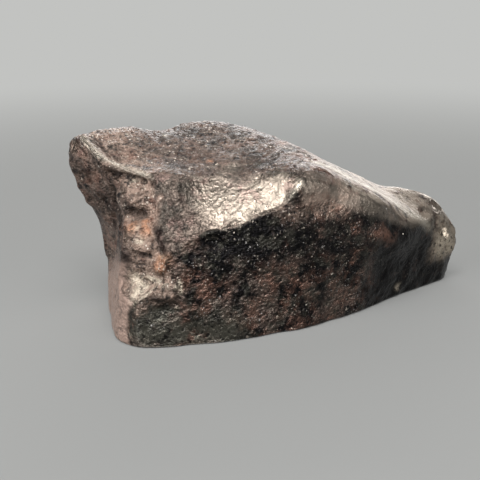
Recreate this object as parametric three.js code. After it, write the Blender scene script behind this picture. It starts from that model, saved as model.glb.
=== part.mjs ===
// Chondrite meteorite: one broken, sand-polished stone that rests on its flat side.
// Millimetres, +Z up. +X runs along the stone, from the blunt horned end to the low nose,
// and the long steep wall faces -Y. The origin is the middle of the resting face.
//
// The outside is one closed skin. A blank box of fine squares is laid round the heart of
// the stone and each of its corners is pushed out, along its own ray, until it meets the
// stone's surface. That surface is where the function stone() is zero: flats that meet in
// rounded edges, with the lip, blocks, ledges, hollows and pits of the broken end on top.

import * as THREE from 'three';
import { mergeVertices } from 'three/addons/utils/BufferGeometryUtils.js';

// ---- Driving dimensions, mm ------------------------------------------------------------

const FOOT = new THREE.Vector3(-31, -7.9, 0); // front left foot corner: places are from it
const HEART = new THREE.Vector3(25, 4, 12); // inner point that sees the whole outside
const BLANK = { size: [68, 32, 28], squares: [42, 23, 22], taper: 0.6 }; // slimmer to the nose
const REACH = 60; // farther from the heart than any face
const HALVINGS = 40; // steps of the search for the surface along a ray
const LEVEL = 1e-5; // points lower than this lie on the resting face
const SAME = 1e-4; // corners of the blank nearer than this are one corner

// Rounding where faces meet, from the sharpest edge to the most worn one
const EDGE = { crisp: 0.6, plain: 0.8, firm: 1, spine: 1.2, soft: 1.5, blunt: 2, worn: 2.5 };
const SCATTER = { x: 73856093, y: 19349663, z: 83492791, mix: 1274126177 }; // lattice heights
const SWELL = [
  { height: 0.3, width: 6.5 },
  { height: 0.16, width: 3.1 },
];

// ---- Flats: which way each faces (turn about Z from +X, tilt up, degrees), and a point ---

const FLATS = {
  wallLeft: { turn: -106, tilt: 4, at: [4, -2.9, 0] },
  wallMiddle: { turn: -92, tilt: -2, at: [20, -6.4, 0] },
  wallRight: { turn: -76.4, tilt: -7, at: [46, -2.9, 0] },
  slopeLeft: { turn: -125, tilt: 37, at: [6.7, 4.8, 23.1] },
  slopeBright: { turn: -122, tilt: 46, at: [17.4, -5.4, 18.6] },
  flank: { turn: -97, tilt: 19, at: [34, -6.2, 21.3] },
  plate: { turn: -98.6, tilt: 67, at: [6.7, 4.8, 23.1] },
  crest: { turn: -120, tilt: 68, at: [19.4, -1, 23.2] },
  crown: { turn: -8, tilt: 63, at: [26.5, 10, 28.4] },
  band: { turn: -32, tilt: 57.5, at: [34, -6.1, 21.6] },
  foot: { turn: 162, tilt: 7, at: [0.9, 7, 0] },
  footCorner: { turn: -155, tilt: 2, at: [0.15, -0.1, 0] },
  hornUnder: { turn: -158, tilt: -20, at: [-1.3, 18.3, 24.6] },
  hornTip: { turn: -156, tilt: 28, at: [-1.2, 18.3, 25.4] },
  heel: { turn: 145, tilt: -12, at: [3.4, 15.4, 0] },
  scarHigh: { turn: -136, tilt: 33, at: [6.4, 4.8, 22.2] },
  scarLow: { turn: -141, tilt: -11, at: [6.3, -2.8, 10.2] },
  scarLedge: { turn: -156, tilt: 57, at: [6.3, -2.8, 9.5] },
  noseEnd: { turn: -15, tilt: -10, at: [62.9, 0, 9] },
  noseTop: { turn: 0, tilt: 42, at: [62, 0, 12.4] },
  backLeft: { turn: 98, tilt: 0, at: [10, 21, 0] },
  backRight: { turn: 62, tilt: 18, at: [44, 15, 0] },
  backTop: { turn: 85, tilt: 55, at: [16, 18.5, 28] },
};

for (const flat of Object.values(FLATS)) {
  const turn = THREE.MathUtils.degToRad(flat.turn);
  const tilt = THREE.MathUtils.degToRad(flat.tilt);
  const level = Math.cos(tilt);
  flat.normal = new THREE.Vector3(
    Math.cos(turn) * level, Math.sin(turn) * level, Math.sin(tilt));
  flat.point = new THREE.Vector3(...flat.at);
}

// ---- Rounded lumps and hollows: middle, half-sizes, turn about Z and dip along X, degrees

const LUMPS = {
  hump: { at: [53.8, 4.5, 9.4], half: [9.5, 6.5, 7.4], turn: -8, dip: 12 },
  shoulder: { at: [25.5, -2.6, 21.6], half: [5, 3.9, 2.7], turn: -20, dip: 0 },
  lipEnd: { at: [9.4, 6.2, 21.3], half: [4.6, 4, 2.4], turn: 0, dip: 0 },
  cheek: { at: [43.6, -4, 11.2], half: [5.2, 1.9, 2.2], turn: 12, dip: 12 },
  scarBlock: { at: [4.9, 6.6, 20.2], half: [2, 2.6, 2], turn: 40, dip: 0 },
  scarKnob: { at: [5.4, -1.4, 11.9], half: [1.2, 1.1, 1], turn: 0, dip: 0 },
};

const HOLLOWS = {
  underBlock: { at: [3.2, 3.2, 18.2], half: [2.2, 2.2, 1.1], turn: 40, dip: 0 },
  wallFoot: { at: [3.4, -3.1, 4.9], half: [3.9, 1.5, 2.3], turn: -16, dip: 0 },
  wallPit: { at: [12.1, -5.2, 14.9], half: [2.4, 1.5, 1.3], turn: -16, dip: 18 },
  flankDent: { at: [29.8, -7.6, 18.3], half: [3.2, 1.2, 1.2], turn: 0, dip: 0 },
  nosePitLow: { at: [53.4, -2, 13.7], half: [1.3, 1, 1], turn: 0, dip: 0 },
  nosePitHigh: { at: [57.2, -0.3, 14.2], half: [1.2, 1, 0.9], turn: 0, dip: 0 },
  crestDent: { at: [14, 17, 29], half: [3.4, 3.2, 2], turn: 0, dip: 0 },
  hornNotch: { at: [-1.9, 18.6, 25.9], half: [1.1, 1.6, 0.8], turn: 0, dip: 0 },
};

const THUMBPRINTS = {
  heel: { at: [0.9, 18.2, 10.4], half: [3.6, 4.6, 6.5], turn: 22, dip: 0 },
  backLeft: { at: [9, 23.4, 14], half: [6, 3.2, 6.5], turn: 8, dip: 0 },
  backMiddle: { at: [27, 21.3, 10], half: [7, 3.4, 5.5], turn: -20, dip: 0 },
  backRight: { at: [41, 15, 12], half: [6, 3.2, 4.5], turn: -28, dip: 0 },
};

for (const round of [LUMPS, HOLLOWS, THUMBPRINTS].flatMap(Object.values)) {
  const turn = new THREE.Matrix4().makeRotationZ(THREE.MathUtils.degToRad(round.turn));
  const dip = new THREE.Matrix4().makeRotationY(THREE.MathUtils.degToRad(round.dip));
  round.toLocal = turn.multiply(dip).setPosition(...round.at).invert();
  round.halfSize = new THREE.Vector3(...round.half);
}

// ---- Bars: raised or sunk lines of the given radius ------------------------------------

const BARS = {
  lip: {
    radius: 0.75,
    points: [[1.5, 16.4, 27.3], [1.9, 13.2, 25.5], [2.5, 11.5, 24.4],
      [3.7, 10.2, 23.8], [5.5, 8.4, 23.5], [6.9, 5.4, 22.9]],
  },
  underLip: { radius: 0.55, points: [[2.3, 10.6, 22.9], [4, 8.2, 22.8], [5.8, 5.6, 22.4]] },
  scarCrease: { radius: 0.45, points: [[2.6, 0.9, 13.2], [4.2, -1.2, 13.6]] },
};

for (const bar of Object.values(BARS)) {
  const corners = bar.points.map((point) => new THREE.Vector3(...point));
  bar.stretches = corners.slice(1).map((end, i) => new THREE.Line3(corners[i], end));
}

// ---- Signed heights over the surface: below zero is inside the stone ---------------------

/** Greater of the heights, with the edge where they meet rounded off: a ridge. */
function ridge(round, ...heights) {
  return heights.reduce((a, b) => {
    const blend = Math.max(round - Math.abs(a - b), 0) / round;
    return Math.max(a, b) + (blend * blend * round) / 4;
  });
}

/** Lesser of the heights, with the corner where they meet filled in: a valley. */
function valley(round, ...heights) {
  return -ridge(round, ...heights.map((height) => -height));
}

function overFlat(p, flat) {
  return p.clone().sub(flat.point).dot(flat.normal);
}

function overRound(p, round) {
  const local = p.clone().applyMatrix4(round.toLocal).divide(round.halfSize);
  return (local.length() - 1) * Math.min(...round.half);
}

function overBar(p, bar) {
  const nearest = new THREE.Vector3();
  const gaps = bar.stretches.map((line) =>
    line.closestPointToPoint(p, true, nearest).distanceTo(p));
  return Math.min(...gaps) - bar.radius;
}

/** A fixed random height, -1 to 1, for each whole-number corner of a lattice. */
function latticeHeight(i, j, k) {
  let mixed = Math.imul(i, SCATTER.x) ^ Math.imul(j, SCATTER.y) ^ Math.imul(k, SCATTER.z);
  mixed = Math.imul(mixed ^ (mixed >>> 13), SCATTER.mix);
  mixed ^= mixed >>> 16;
  return (mixed >>> 0) / 2 ** 31 - 1;
}

/** Lattice heights blended smoothly between the eight corners round p. */
function latticeSwell(p, width) {
  const cell = p.clone().divideScalar(width);
  const low = cell.clone().floor();
  const part = cell.sub(low);
  const [u, v, w] = part.toArray().map((t) => t * t * (3 - 2 * t));
  let height = 0;
  for (const [i, share] of [[0, 1 - u], [1, u]]) {
    for (const [j, shareY] of [[0, 1 - v], [1, v]]) {
      for (const [k, shareZ] of [[0, 1 - w], [1, w]]) {
        height += share * shareY * shareZ * latticeHeight(low.x + i, low.y + j, low.z + k);
      }
    }
  }
  return height;
}

/** The broken left end: blunt foot, horn that juts over it, and the horn's tip. */
function leftEnd(p) {
  const foot = ridge(EDGE.worn, overFlat(p, FLATS.foot), overFlat(p, FLATS.footCorner));
  const underside = valley(EDGE.firm, foot, overFlat(p, FLATS.hornUnder));
  return ridge(EDGE.plain, underside, overFlat(p, FLATS.heel), overFlat(p, FLATS.hornTip));
}

/** The notch broken out of the front left corner, with the ledge that floors it. */
function scar(p) {
  const back = ridge(EDGE.plain, overFlat(p, FLATS.scarHigh), overFlat(p, FLATS.scarLow));
  return valley(EDGE.plain, overFlat(p, FLATS.scarLedge), back);
}

/** The whole stone: flats first, then swell, then the lip, blocks, hollows and pits. */
function stone(p) {
  const wallLeft = ridge(EDGE.worn, overFlat(p, FLATS.wallLeft), overFlat(p, FLATS.footCorner));
  const wall = ridge(EDGE.soft, wallLeft, overFlat(p, FLATS.wallMiddle),
    overFlat(p, FLATS.wallRight));
  const top = valley(EDGE.firm, overFlat(p, FLATS.plate), overFlat(p, FLATS.crest));
  let height = ridge(EDGE.plain, wall, overFlat(p, FLATS.slopeLeft),
    overFlat(p, FLATS.slopeBright), overFlat(p, FLATS.flank), top);
  height = valley(EDGE.worn, height, overRound(p, LUMPS.shoulder), overRound(p, LUMPS.lipEnd));

  const spine = ridge(EDGE.spine, overFlat(p, FLATS.band), overFlat(p, FLATS.crown));
  height = ridge(EDGE.soft, height, valley(EDGE.worn, spine, overRound(p, LUMPS.hump)));
  height = ridge(EDGE.crisp, height, leftEnd(p));
  height = ridge(EDGE.crisp, height, scar(p));
  const nose = ridge(EDGE.soft, overFlat(p, FLATS.noseEnd), overFlat(p, FLATS.noseTop));
  const back = ridge(EDGE.worn, overFlat(p, FLATS.backLeft), overFlat(p, FLATS.backRight),
    overFlat(p, FLATS.backTop));
  height = ridge(EDGE.blunt, height, nose, back);

  for (const swell of SWELL) height -= swell.height * latticeSwell(p, swell.width);

  height = valley(EDGE.plain, height, overBar(p, BARS.lip), overRound(p, LUMPS.scarBlock));
  height = valley(EDGE.crisp, height, overRound(p, LUMPS.scarKnob));
  height = valley(EDGE.worn, height, overRound(p, LUMPS.cheek));
  for (const groove of [BARS.underLip, BARS.scarCrease]) {
    height = ridge(EDGE.crisp, height, -overBar(p, groove));
  }
  for (const hollow of Object.values(HOLLOWS)) {
    height = ridge(EDGE.plain, height, -overRound(p, hollow));
  }
  for (const print of Object.values(THUMBPRINTS)) {
    height = ridge(EDGE.blunt, height, -overRound(p, print));
  }
  return ridge(EDGE.crisp, height, -p.z); // the flat resting face
}

// ---- The skin --------------------------------------------------------------------------

/** Where the ray from the heart leaves the stone, found by halving. */
function surfacePoint(direction) {
  let inside = 0;
  let outside = REACH;
  for (let step = 0; step < HALVINGS; step += 1) {
    const middle = (inside + outside) / 2;
    const point = direction.clone().multiplyScalar(middle).add(HEART);
    if (stone(point) < 0) inside = middle;
    else outside = middle;
  }
  return direction.clone().multiplyScalar(inside).add(HEART);
}

function makeSkin() {
  const blank = new THREE.BoxGeometry(...BLANK.size, ...BLANK.squares);
  blank.deleteAttribute('normal');
  blank.deleteAttribute('uv');
  const skin = mergeVertices(blank, SAME);
  const places = skin.getAttribute('position');
  const corner = new THREE.Vector3();
  for (let i = 0; i < places.count; i += 1) {
    corner.fromBufferAttribute(places, i);
    corner.y *= 1 - (BLANK.taper * Math.max(corner.x, 0) * 2) / BLANK.size[0];
    corner.normalize();
    const onStone = surfacePoint(corner).add(FOOT);
    places.setXYZ(i, onStone.x, onStone.y, onStone.z < LEVEL ? 0 : onStone.z);
  }
  skin.computeVertexNormals();
  return skin;
}

const crust = new THREE.MeshStandardMaterial({ color: 0x4a3d36, roughness: 0.42, metalness: 0.25 });
const meteorite = new THREE.Mesh(makeSkin(), crust);
meteorite.name = 'stone';

const group = new THREE.Group();
group.add(meteorite);

export default group;
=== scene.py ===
"""Chondrite meteorite: a broken wedge of stone with a dark, worn fusion crust.

The stone is one closed skin. A box lattice laid round the heart of the stone is pushed out along
rays until it meets the flats, lumps and hollows that make the stone's form, and the skin then gets
the fine relief of each of its regions: wrinkled melt, speckled plates, chipped rock and pits.
Lengths in the form are millimetres, measured from the front left foot corner.
"""

import logging
import math
from dataclasses import dataclass, field
from enum import Enum
import bpy
import numpy as np
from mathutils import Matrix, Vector


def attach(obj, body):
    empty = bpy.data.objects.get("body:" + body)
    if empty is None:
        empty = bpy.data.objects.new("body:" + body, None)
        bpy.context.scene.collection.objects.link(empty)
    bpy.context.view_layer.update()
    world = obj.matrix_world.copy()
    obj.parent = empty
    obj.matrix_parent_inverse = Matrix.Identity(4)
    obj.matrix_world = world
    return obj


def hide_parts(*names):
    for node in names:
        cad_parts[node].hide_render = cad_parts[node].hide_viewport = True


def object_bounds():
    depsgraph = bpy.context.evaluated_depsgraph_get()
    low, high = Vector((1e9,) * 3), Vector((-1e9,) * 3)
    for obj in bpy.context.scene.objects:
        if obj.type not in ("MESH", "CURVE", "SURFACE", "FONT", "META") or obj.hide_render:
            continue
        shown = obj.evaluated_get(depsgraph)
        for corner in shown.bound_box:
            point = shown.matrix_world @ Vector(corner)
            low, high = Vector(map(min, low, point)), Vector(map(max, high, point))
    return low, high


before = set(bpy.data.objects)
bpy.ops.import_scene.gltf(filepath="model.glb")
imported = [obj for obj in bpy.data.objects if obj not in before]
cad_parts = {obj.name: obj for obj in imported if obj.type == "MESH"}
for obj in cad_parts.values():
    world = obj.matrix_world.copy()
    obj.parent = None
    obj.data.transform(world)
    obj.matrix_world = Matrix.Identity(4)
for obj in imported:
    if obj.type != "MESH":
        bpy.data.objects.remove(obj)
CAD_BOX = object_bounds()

Array = np.ndarray
Socket = bpy.types.NodeSocket
Span = tuple[float, float]
Triple = tuple[float, float, float]
Colour = tuple[float, float, float, float]
LOG = logging.getLogger("meteorite")

MM = 0.001
FOOT_MM = np.array([-31.0, -7.9, 0.0])  # the front left foot corner in the part's frame
HEART_MM = np.array([25.0, 4.0, 12.0])  # inner point that sees the whole outside
PLACE_KEYS = np.array([1, 1000, 1000000])  # make one number of a lattice place
PATCH_EDGE = 0.20  # noise height over which a patch of the finish fades in


# ---- How surfaces meet ------------------------------------------------------------------


def ridge(rounding: float, *heights: Array) -> Array:
    """Joins heights at a rounded ridge: the greater one, with a parabola over the crossing.

    Args:
        rounding: Width in mm over which the two heights blend.
        *heights: Signed heights over surfaces, below zero inside.

    Returns:
        The joined height.
    """
    joined = heights[0]
    for other in heights[1:]:
        blend = np.maximum(rounding - np.abs(joined - other), 0.0) / rounding
        joined = np.maximum(joined, other) + blend * blend * rounding / 4.0
    return joined


def valley(rounding: float, *heights: Array) -> Array:
    """Joins heights at a filled-in valley: the lesser one, blended over the crossing.

    Args:
        rounding: Width in mm over which the two heights blend.
        *heights: Signed heights over surfaces, below zero inside.

    Returns:
        The joined height.
    """
    return -ridge(rounding, *(-height for height in heights))


def ramp(values: Array, low: float, high: float) -> Array:
    """Smooth step from 0 at low to 1 at high: 3t^2 - 2t^3 of the clamped share t.

    Args:
        values: The values to grade.
        low: Value that gives 0; it may be the greater one.
        high: Value that gives 1.

    Returns:
        Shares from 0 to 1.
    """
    share = clamp((values - low) / (high - low))
    return share * share * (3.0 - 2.0 * share)


def clamp(values: Array) -> Array:
    """Returns the values cut off at 0 and 1."""
    return np.clip(values, 0.0, 1.0)


# ---- Noise ------------------------------------------------------------------------------


SCATTER = np.array([73856093, 19349663, 83492791], dtype=np.int64)  # mixes X, Y and Z
SCATTER_AGAIN = np.uint32(1274126177)
WORD = 0xFFFFFFFF  # the greatest 32-bit number
HALF_WORD = 2147483648.0
SLOPE_COUNT = 1024  # random slopes in the table of each noise


class Seed(Enum):
    """What each noise shapes, and the number that fixes its draws."""

    REGION_EDGES = 11
    MOTTLE = 21
    LUMPS = 25
    GRAIN_CELLS = 31
    GRAIN_WAVES = 32
    WRINKLE_BEND_X = 41
    WRINKLE_BEND_Y = 42
    WRINKLE_BEND_Z = 43
    WRINKLE_CRESTS = 44
    WRINKLE_LINES = 45
    STREAK_BEND = 51
    STREAKS_WIDE = 52
    STREAKS_NARROW = 53
    CHIPS_WIDE = 61
    CHIPS_NARROW = 62
    CHIP_CRUMBS = 63
    PITS_WIDE = 71
    PITS_NARROW = 72
    MASK_EDGES = 81
    MASK_SPECKS = 82
    MARK_BEND_X = 91
    MARK_BEND_Y = 92
    MARK_BEND_Z = 93


WRINKLE_BEND = (Seed.WRINKLE_BEND_X, Seed.WRINKLE_BEND_Y, Seed.WRINKLE_BEND_Z)
MARK_BEND = (Seed.MARK_BEND_X, Seed.MARK_BEND_Y, Seed.MARK_BEND_Z)


def lattice_hash(place: Array) -> Array:
    """Mixes each whole-number lattice place into 32 random bits.

    Args:
        place: Lattice places, the last axis X, Y, Z.

    Returns:
        Unsigned 32-bit numbers.
    """
    x, y, z = np.moveaxis(place * SCATTER & WORD, -1, 0)
    mixed = (x ^ y ^ z).astype(np.uint32)
    mixed = (mixed ^ (mixed >> np.uint32(13))) * SCATTER_AGAIN
    return mixed ^ (mixed >> np.uint32(16))


def lattice_swell(points: Array, width: float) -> Array:
    """Random heights on a cubic lattice, blended by smooth steps between its corners.

    Args:
        points: Places in mm, the last axis X, Y, Z.
        width: Spacing of the lattice in mm.

    Returns:
        Heights from -1 to 1.
    """
    cell = points / width
    low = np.floor(cell)
    part = cell - low
    part = part * part * (3.0 - 2.0 * part)
    low = low.astype(np.int64)
    height = np.zeros(points.shape[:-1])
    for corner in np.ndindex(2, 2, 2):
        share = np.prod(np.where(np.array(corner) == 1, part, 1.0 - part), axis=-1)
        place = low + np.array(corner)
        bits = lattice_hash(place)
        height += share * (bits / HALF_WORD - 1.0)
    return height


class Grain:
    """Repeatable noise of one kind, turned and seeded so that layers don't line up."""

    def __init__(self, seed: Seed) -> None:
        """Draws the turn, the shift and the table of slopes.

        Args:
            seed: What the noise shapes; it fixes every draw.
        """
        draws = np.random.default_rng(seed.value)
        turn, _ = np.linalg.qr(draws.normal(size=(3, 3)))
        self.turn = turn
        self.shift = draws.uniform(50.0, 90.0, size=3)
        slopes = draws.normal(size=(SLOPE_COUNT, 3))
        self.slopes = slopes / np.linalg.norm(slopes, axis=1, keepdims=True)

    def _cells(self, points: Array, width: float) -> tuple[Array, Array]:
        """Turns points into this noise's lattice.

        Args:
            points: Places in mm.
            width: Spacing of the lattice in mm.

        Returns:
            Whole-number corners and the parts past them.
        """
        cell = points @ self.turn / width + self.shift
        low = np.floor(cell)
        return low.astype(np.int64), cell - low

    def waves(self, points: Array, width: float) -> Array:
        """Gradient noise: a random slope at each lattice corner, blended by quintic steps.

        Args:
            points: Places in mm.
            width: Spacing of the lattice in mm.

        Returns:
            Heights, mostly from -1 to 1.
        """
        low, part = self._cells(points, width)
        fade = part**3 * (part * (part * 6.0 - 15.0) + 10.0)
        height = np.zeros(points.shape[:-1])
        for corner in np.ndindex(2, 2, 2):
            step = np.array(corner)
            share = np.prod(np.where(step == 1, fade, 1.0 - fade), axis=-1)
            place = low + step
            bits = lattice_hash(place) % np.uint32(SLOPE_COUNT)
            height += share * np.sum(self.slopes[bits] * (part - step), axis=-1)
        return 1.6 * height

    def fractal(self, points: Array, width: float, octaves: int) -> Array:
        """Sum of gradient noises, each half as wide and half as high as the last.

        Args:
            points: Places in mm.
            width: Spacing of the widest layer in mm.
            octaves: Number of layers.

        Returns:
            Heights, mostly from -1 to 1.
        """
        total = np.zeros(points.shape[:-1])
        for octave in range(octaves):
            share = 0.5**octave
            total += share * self.waves(points + 7.3 * octave, width * share)
        return total / (2.0 - 0.5 ** (octaves - 1))

    def chips(self, points: Array, width: float) -> tuple[Array, Array, Array]:
        """Cellular noise: one random centre in each lattice cell, nearest one wins.

        Args:
            points: Places in mm.
            width: Spacing of the lattice in mm.

        Returns:
            Distance to the nearest centre and to the next one in cell widths, and the
            height of a plane of random slope through the nearest centre.
        """
        low, part = self._cells(points, width)
        near = np.full(points.shape[:-1], 9.0)
        second = np.full(points.shape[:-1], 9.0)
        plane = np.zeros(points.shape[:-1])
        for corner in np.ndindex(3, 3, 3):
            step = np.array(corner) - 1
            place = low + step
            bits = lattice_hash(place)
            centre = 0.5 + 0.42 * self.slopes[bits % np.uint32(SLOPE_COUNT)]
            away = part - step - centre
            distance = np.linalg.norm(away, axis=-1)
            slope = self.slopes[(bits >> np.uint32(11)) % np.uint32(SLOPE_COUNT)]
            height = np.sum(away * slope, axis=-1)
            closer = distance < near
            second = np.where(closer, near, np.minimum(second, distance))
            plane = np.where(closer, height, plane)
            near = np.where(closer, distance, near)
        return near, second, plane

    def pits(self, points: Array, width: float, size: float, share: float) -> Array:
        """Round pits in some of the lattice cells: (1 - d^2)^2 inside each pit's rim.

        Args:
            points: Places in mm.
            width: Spacing of the lattice in mm.
            size: Radius of the largest pits in cell widths, at most 0.5.
            share: Share of the cells that hold a pit.

        Returns:
            Depths from 0 to 1.
        """
        low, part = self._cells(points, width)
        depth = np.zeros(points.shape[:-1])
        for corner in np.ndindex(3, 3, 3):
            step = np.array(corner) - 1
            place = low + step
            bits = lattice_hash(place)
            centre = 0.5 + 0.3 * self.slopes[bits % np.uint32(SLOPE_COUNT)]
            chance = ((bits >> np.uint32(9)) % np.uint32(997)) / 997.0
            radius = size * (0.45 + 0.55 * ((bits >> np.uint32(17)) % np.uint32(61)) / 61.0)
            distance = np.linalg.norm(part - step - centre, axis=-1) / radius
            bowl = np.maximum(1.0 - distance * distance, 0.0) ** 2
            depth = np.maximum(depth, np.where(chance < share, bowl, 0.0))
        return depth


# ---- The form: flats, lumps and bars ----------------------------------------------------


@dataclass(frozen=True)
class Flat:
    """A flat of the stone.

    Attributes:
        turn: Which way it faces round Z, in degrees from +X.
        tilt: How far it faces up, in degrees.
        at: A point on it, mm from the foot corner.
    """

    turn: float
    tilt: float
    at: Triple

    def normal(self) -> Array:
        """Returns the outward unit normal."""
        turn, tilt = math.radians(self.turn), math.radians(self.tilt)
        level = math.cos(tilt)
        return np.array([math.cos(turn) * level, math.sin(turn) * level, math.sin(tilt)])

    def over(self, points: Array) -> Array:
        """Height over the flat: the offset from its point, along its normal.

        Args:
            points: Places in mm.

        Returns:
            Signed heights in mm.
        """
        return (points - np.array(self.at)) @ self.normal()


@dataclass(frozen=True)
class Lump:
    """An egg-shaped lump, or a hollow when it is taken away.

    Attributes:
        at: Its middle, mm from the foot corner.
        half: Half its size each way, in mm.
        turn: Turn about Z in degrees.
        dip: How far its +X end dips, in degrees.
    """

    at: Triple
    half: Triple
    turn: float = 0.0
    dip: float = 0.0

    def over(self, points: Array) -> Array:
        """Height over the lump: its scaled distance from the middle, less one.

        Args:
            points: Places in mm.

        Returns:
            Signed heights in mm, true at the surface along the shortest half size.
        """
        turn, dip = math.radians(self.turn), math.radians(self.dip)
        spin = np.array(
            [[math.cos(turn), -math.sin(turn), 0], [math.sin(turn), math.cos(turn), 0], [0, 0, 1]]
        )
        lean = np.array(
            [[math.cos(dip), 0, math.sin(dip)], [0, 1, 0], [-math.sin(dip), 0, math.cos(dip)]]
        )
        local = (points - np.array(self.at)) @ (spin @ lean) / np.array(self.half)
        return (np.linalg.norm(local, axis=-1) - 1.0) * min(self.half)


@dataclass(frozen=True)
class Bar:
    """A raised line, or a groove when it is taken away.

    Attributes:
        radius: Radius in mm.
        points: Points along its middle, mm from the foot corner.
    """

    radius: float
    points: tuple[Triple, ...]

    def over(self, points: Array) -> Array:
        """Height over the bar: the distance to its nearest stretch, less its radius.

        Args:
            points: Places in mm.

        Returns:
            Signed heights in mm.
        """
        nearest = np.full(points.shape[:-1], np.inf)
        for start, end in zip(self.points[:-1], self.points[1:]):
            low, along = np.array(start), np.array(end) - np.array(start)
            share = clamp((points - low) @ along / (along @ along))
            gap = np.linalg.norm(points - low - share[..., None] * along, axis=-1)
            nearest = np.minimum(nearest, gap)
        return nearest - self.radius


class Face(Enum):
    """The flats of the stone, by name."""

    WALL_LEFT = Flat(-106.0, 4.0, (4.0, -2.9, 0.0))
    WALL_MIDDLE = Flat(-92.0, -2.0, (20.0, -6.4, 0.0))
    WALL_RIGHT = Flat(-76.4, -7.0, (46.0, -2.9, 0.0))
    SLOPE_LEFT = Flat(-125.0, 37.0, (6.7, 4.8, 23.1))
    SLOPE_BRIGHT = Flat(-122.0, 46.0, (17.4, -5.4, 18.6))
    FLANK = Flat(-87.0, 19.0, (34.0, -6.2, 21.3))
    PLATE = Flat(-98.6, 67.0, (6.7, 4.8, 23.1))
    CREST = Flat(-120.0, 68.0, (19.4, -1.0, 23.2))
    CROWN = Flat(-8.0, 63.0, (26.5, 10.0, 28.4))
    BAND = Flat(-32.0, 57.5, (34.0, -6.1, 21.6))
    FOOT = Flat(162.0, 7.0, (0.9, 7.0, 0.0))
    FOOT_CORNER = Flat(-155.0, 2.0, (0.15, -0.1, 0.0))
    HORN_UNDER = Flat(-158.0, -20.0, (-1.3, 18.3, 24.6))
    HORN_TIP = Flat(-156.0, 28.0, (-1.2, 18.3, 25.4))
    HEEL = Flat(145.0, -12.0, (3.4, 15.4, 0.0))
    SCAR_HIGH = Flat(-136.0, 33.0, (6.4, 4.8, 22.2))
    SCAR_LOW = Flat(-141.0, -11.0, (6.3, -2.8, 10.2))
    SCAR_LEDGE = Flat(-156.0, 57.0, (6.3, -2.8, 9.5))
    NOSE_END = Flat(-15.0, -10.0, (62.9, 0.0, 9.0))
    NOSE_TOP = Flat(0.0, 42.0, (62.0, 0.0, 12.4))
    BACK_LEFT = Flat(98.0, 0.0, (10.0, 21.0, 0.0))
    BACK_RIGHT = Flat(62.0, 18.0, (44.0, 15.0, 0.0))
    BACK_TOP = Flat(85.0, 55.0, (16.0, 18.5, 28.0))


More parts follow.
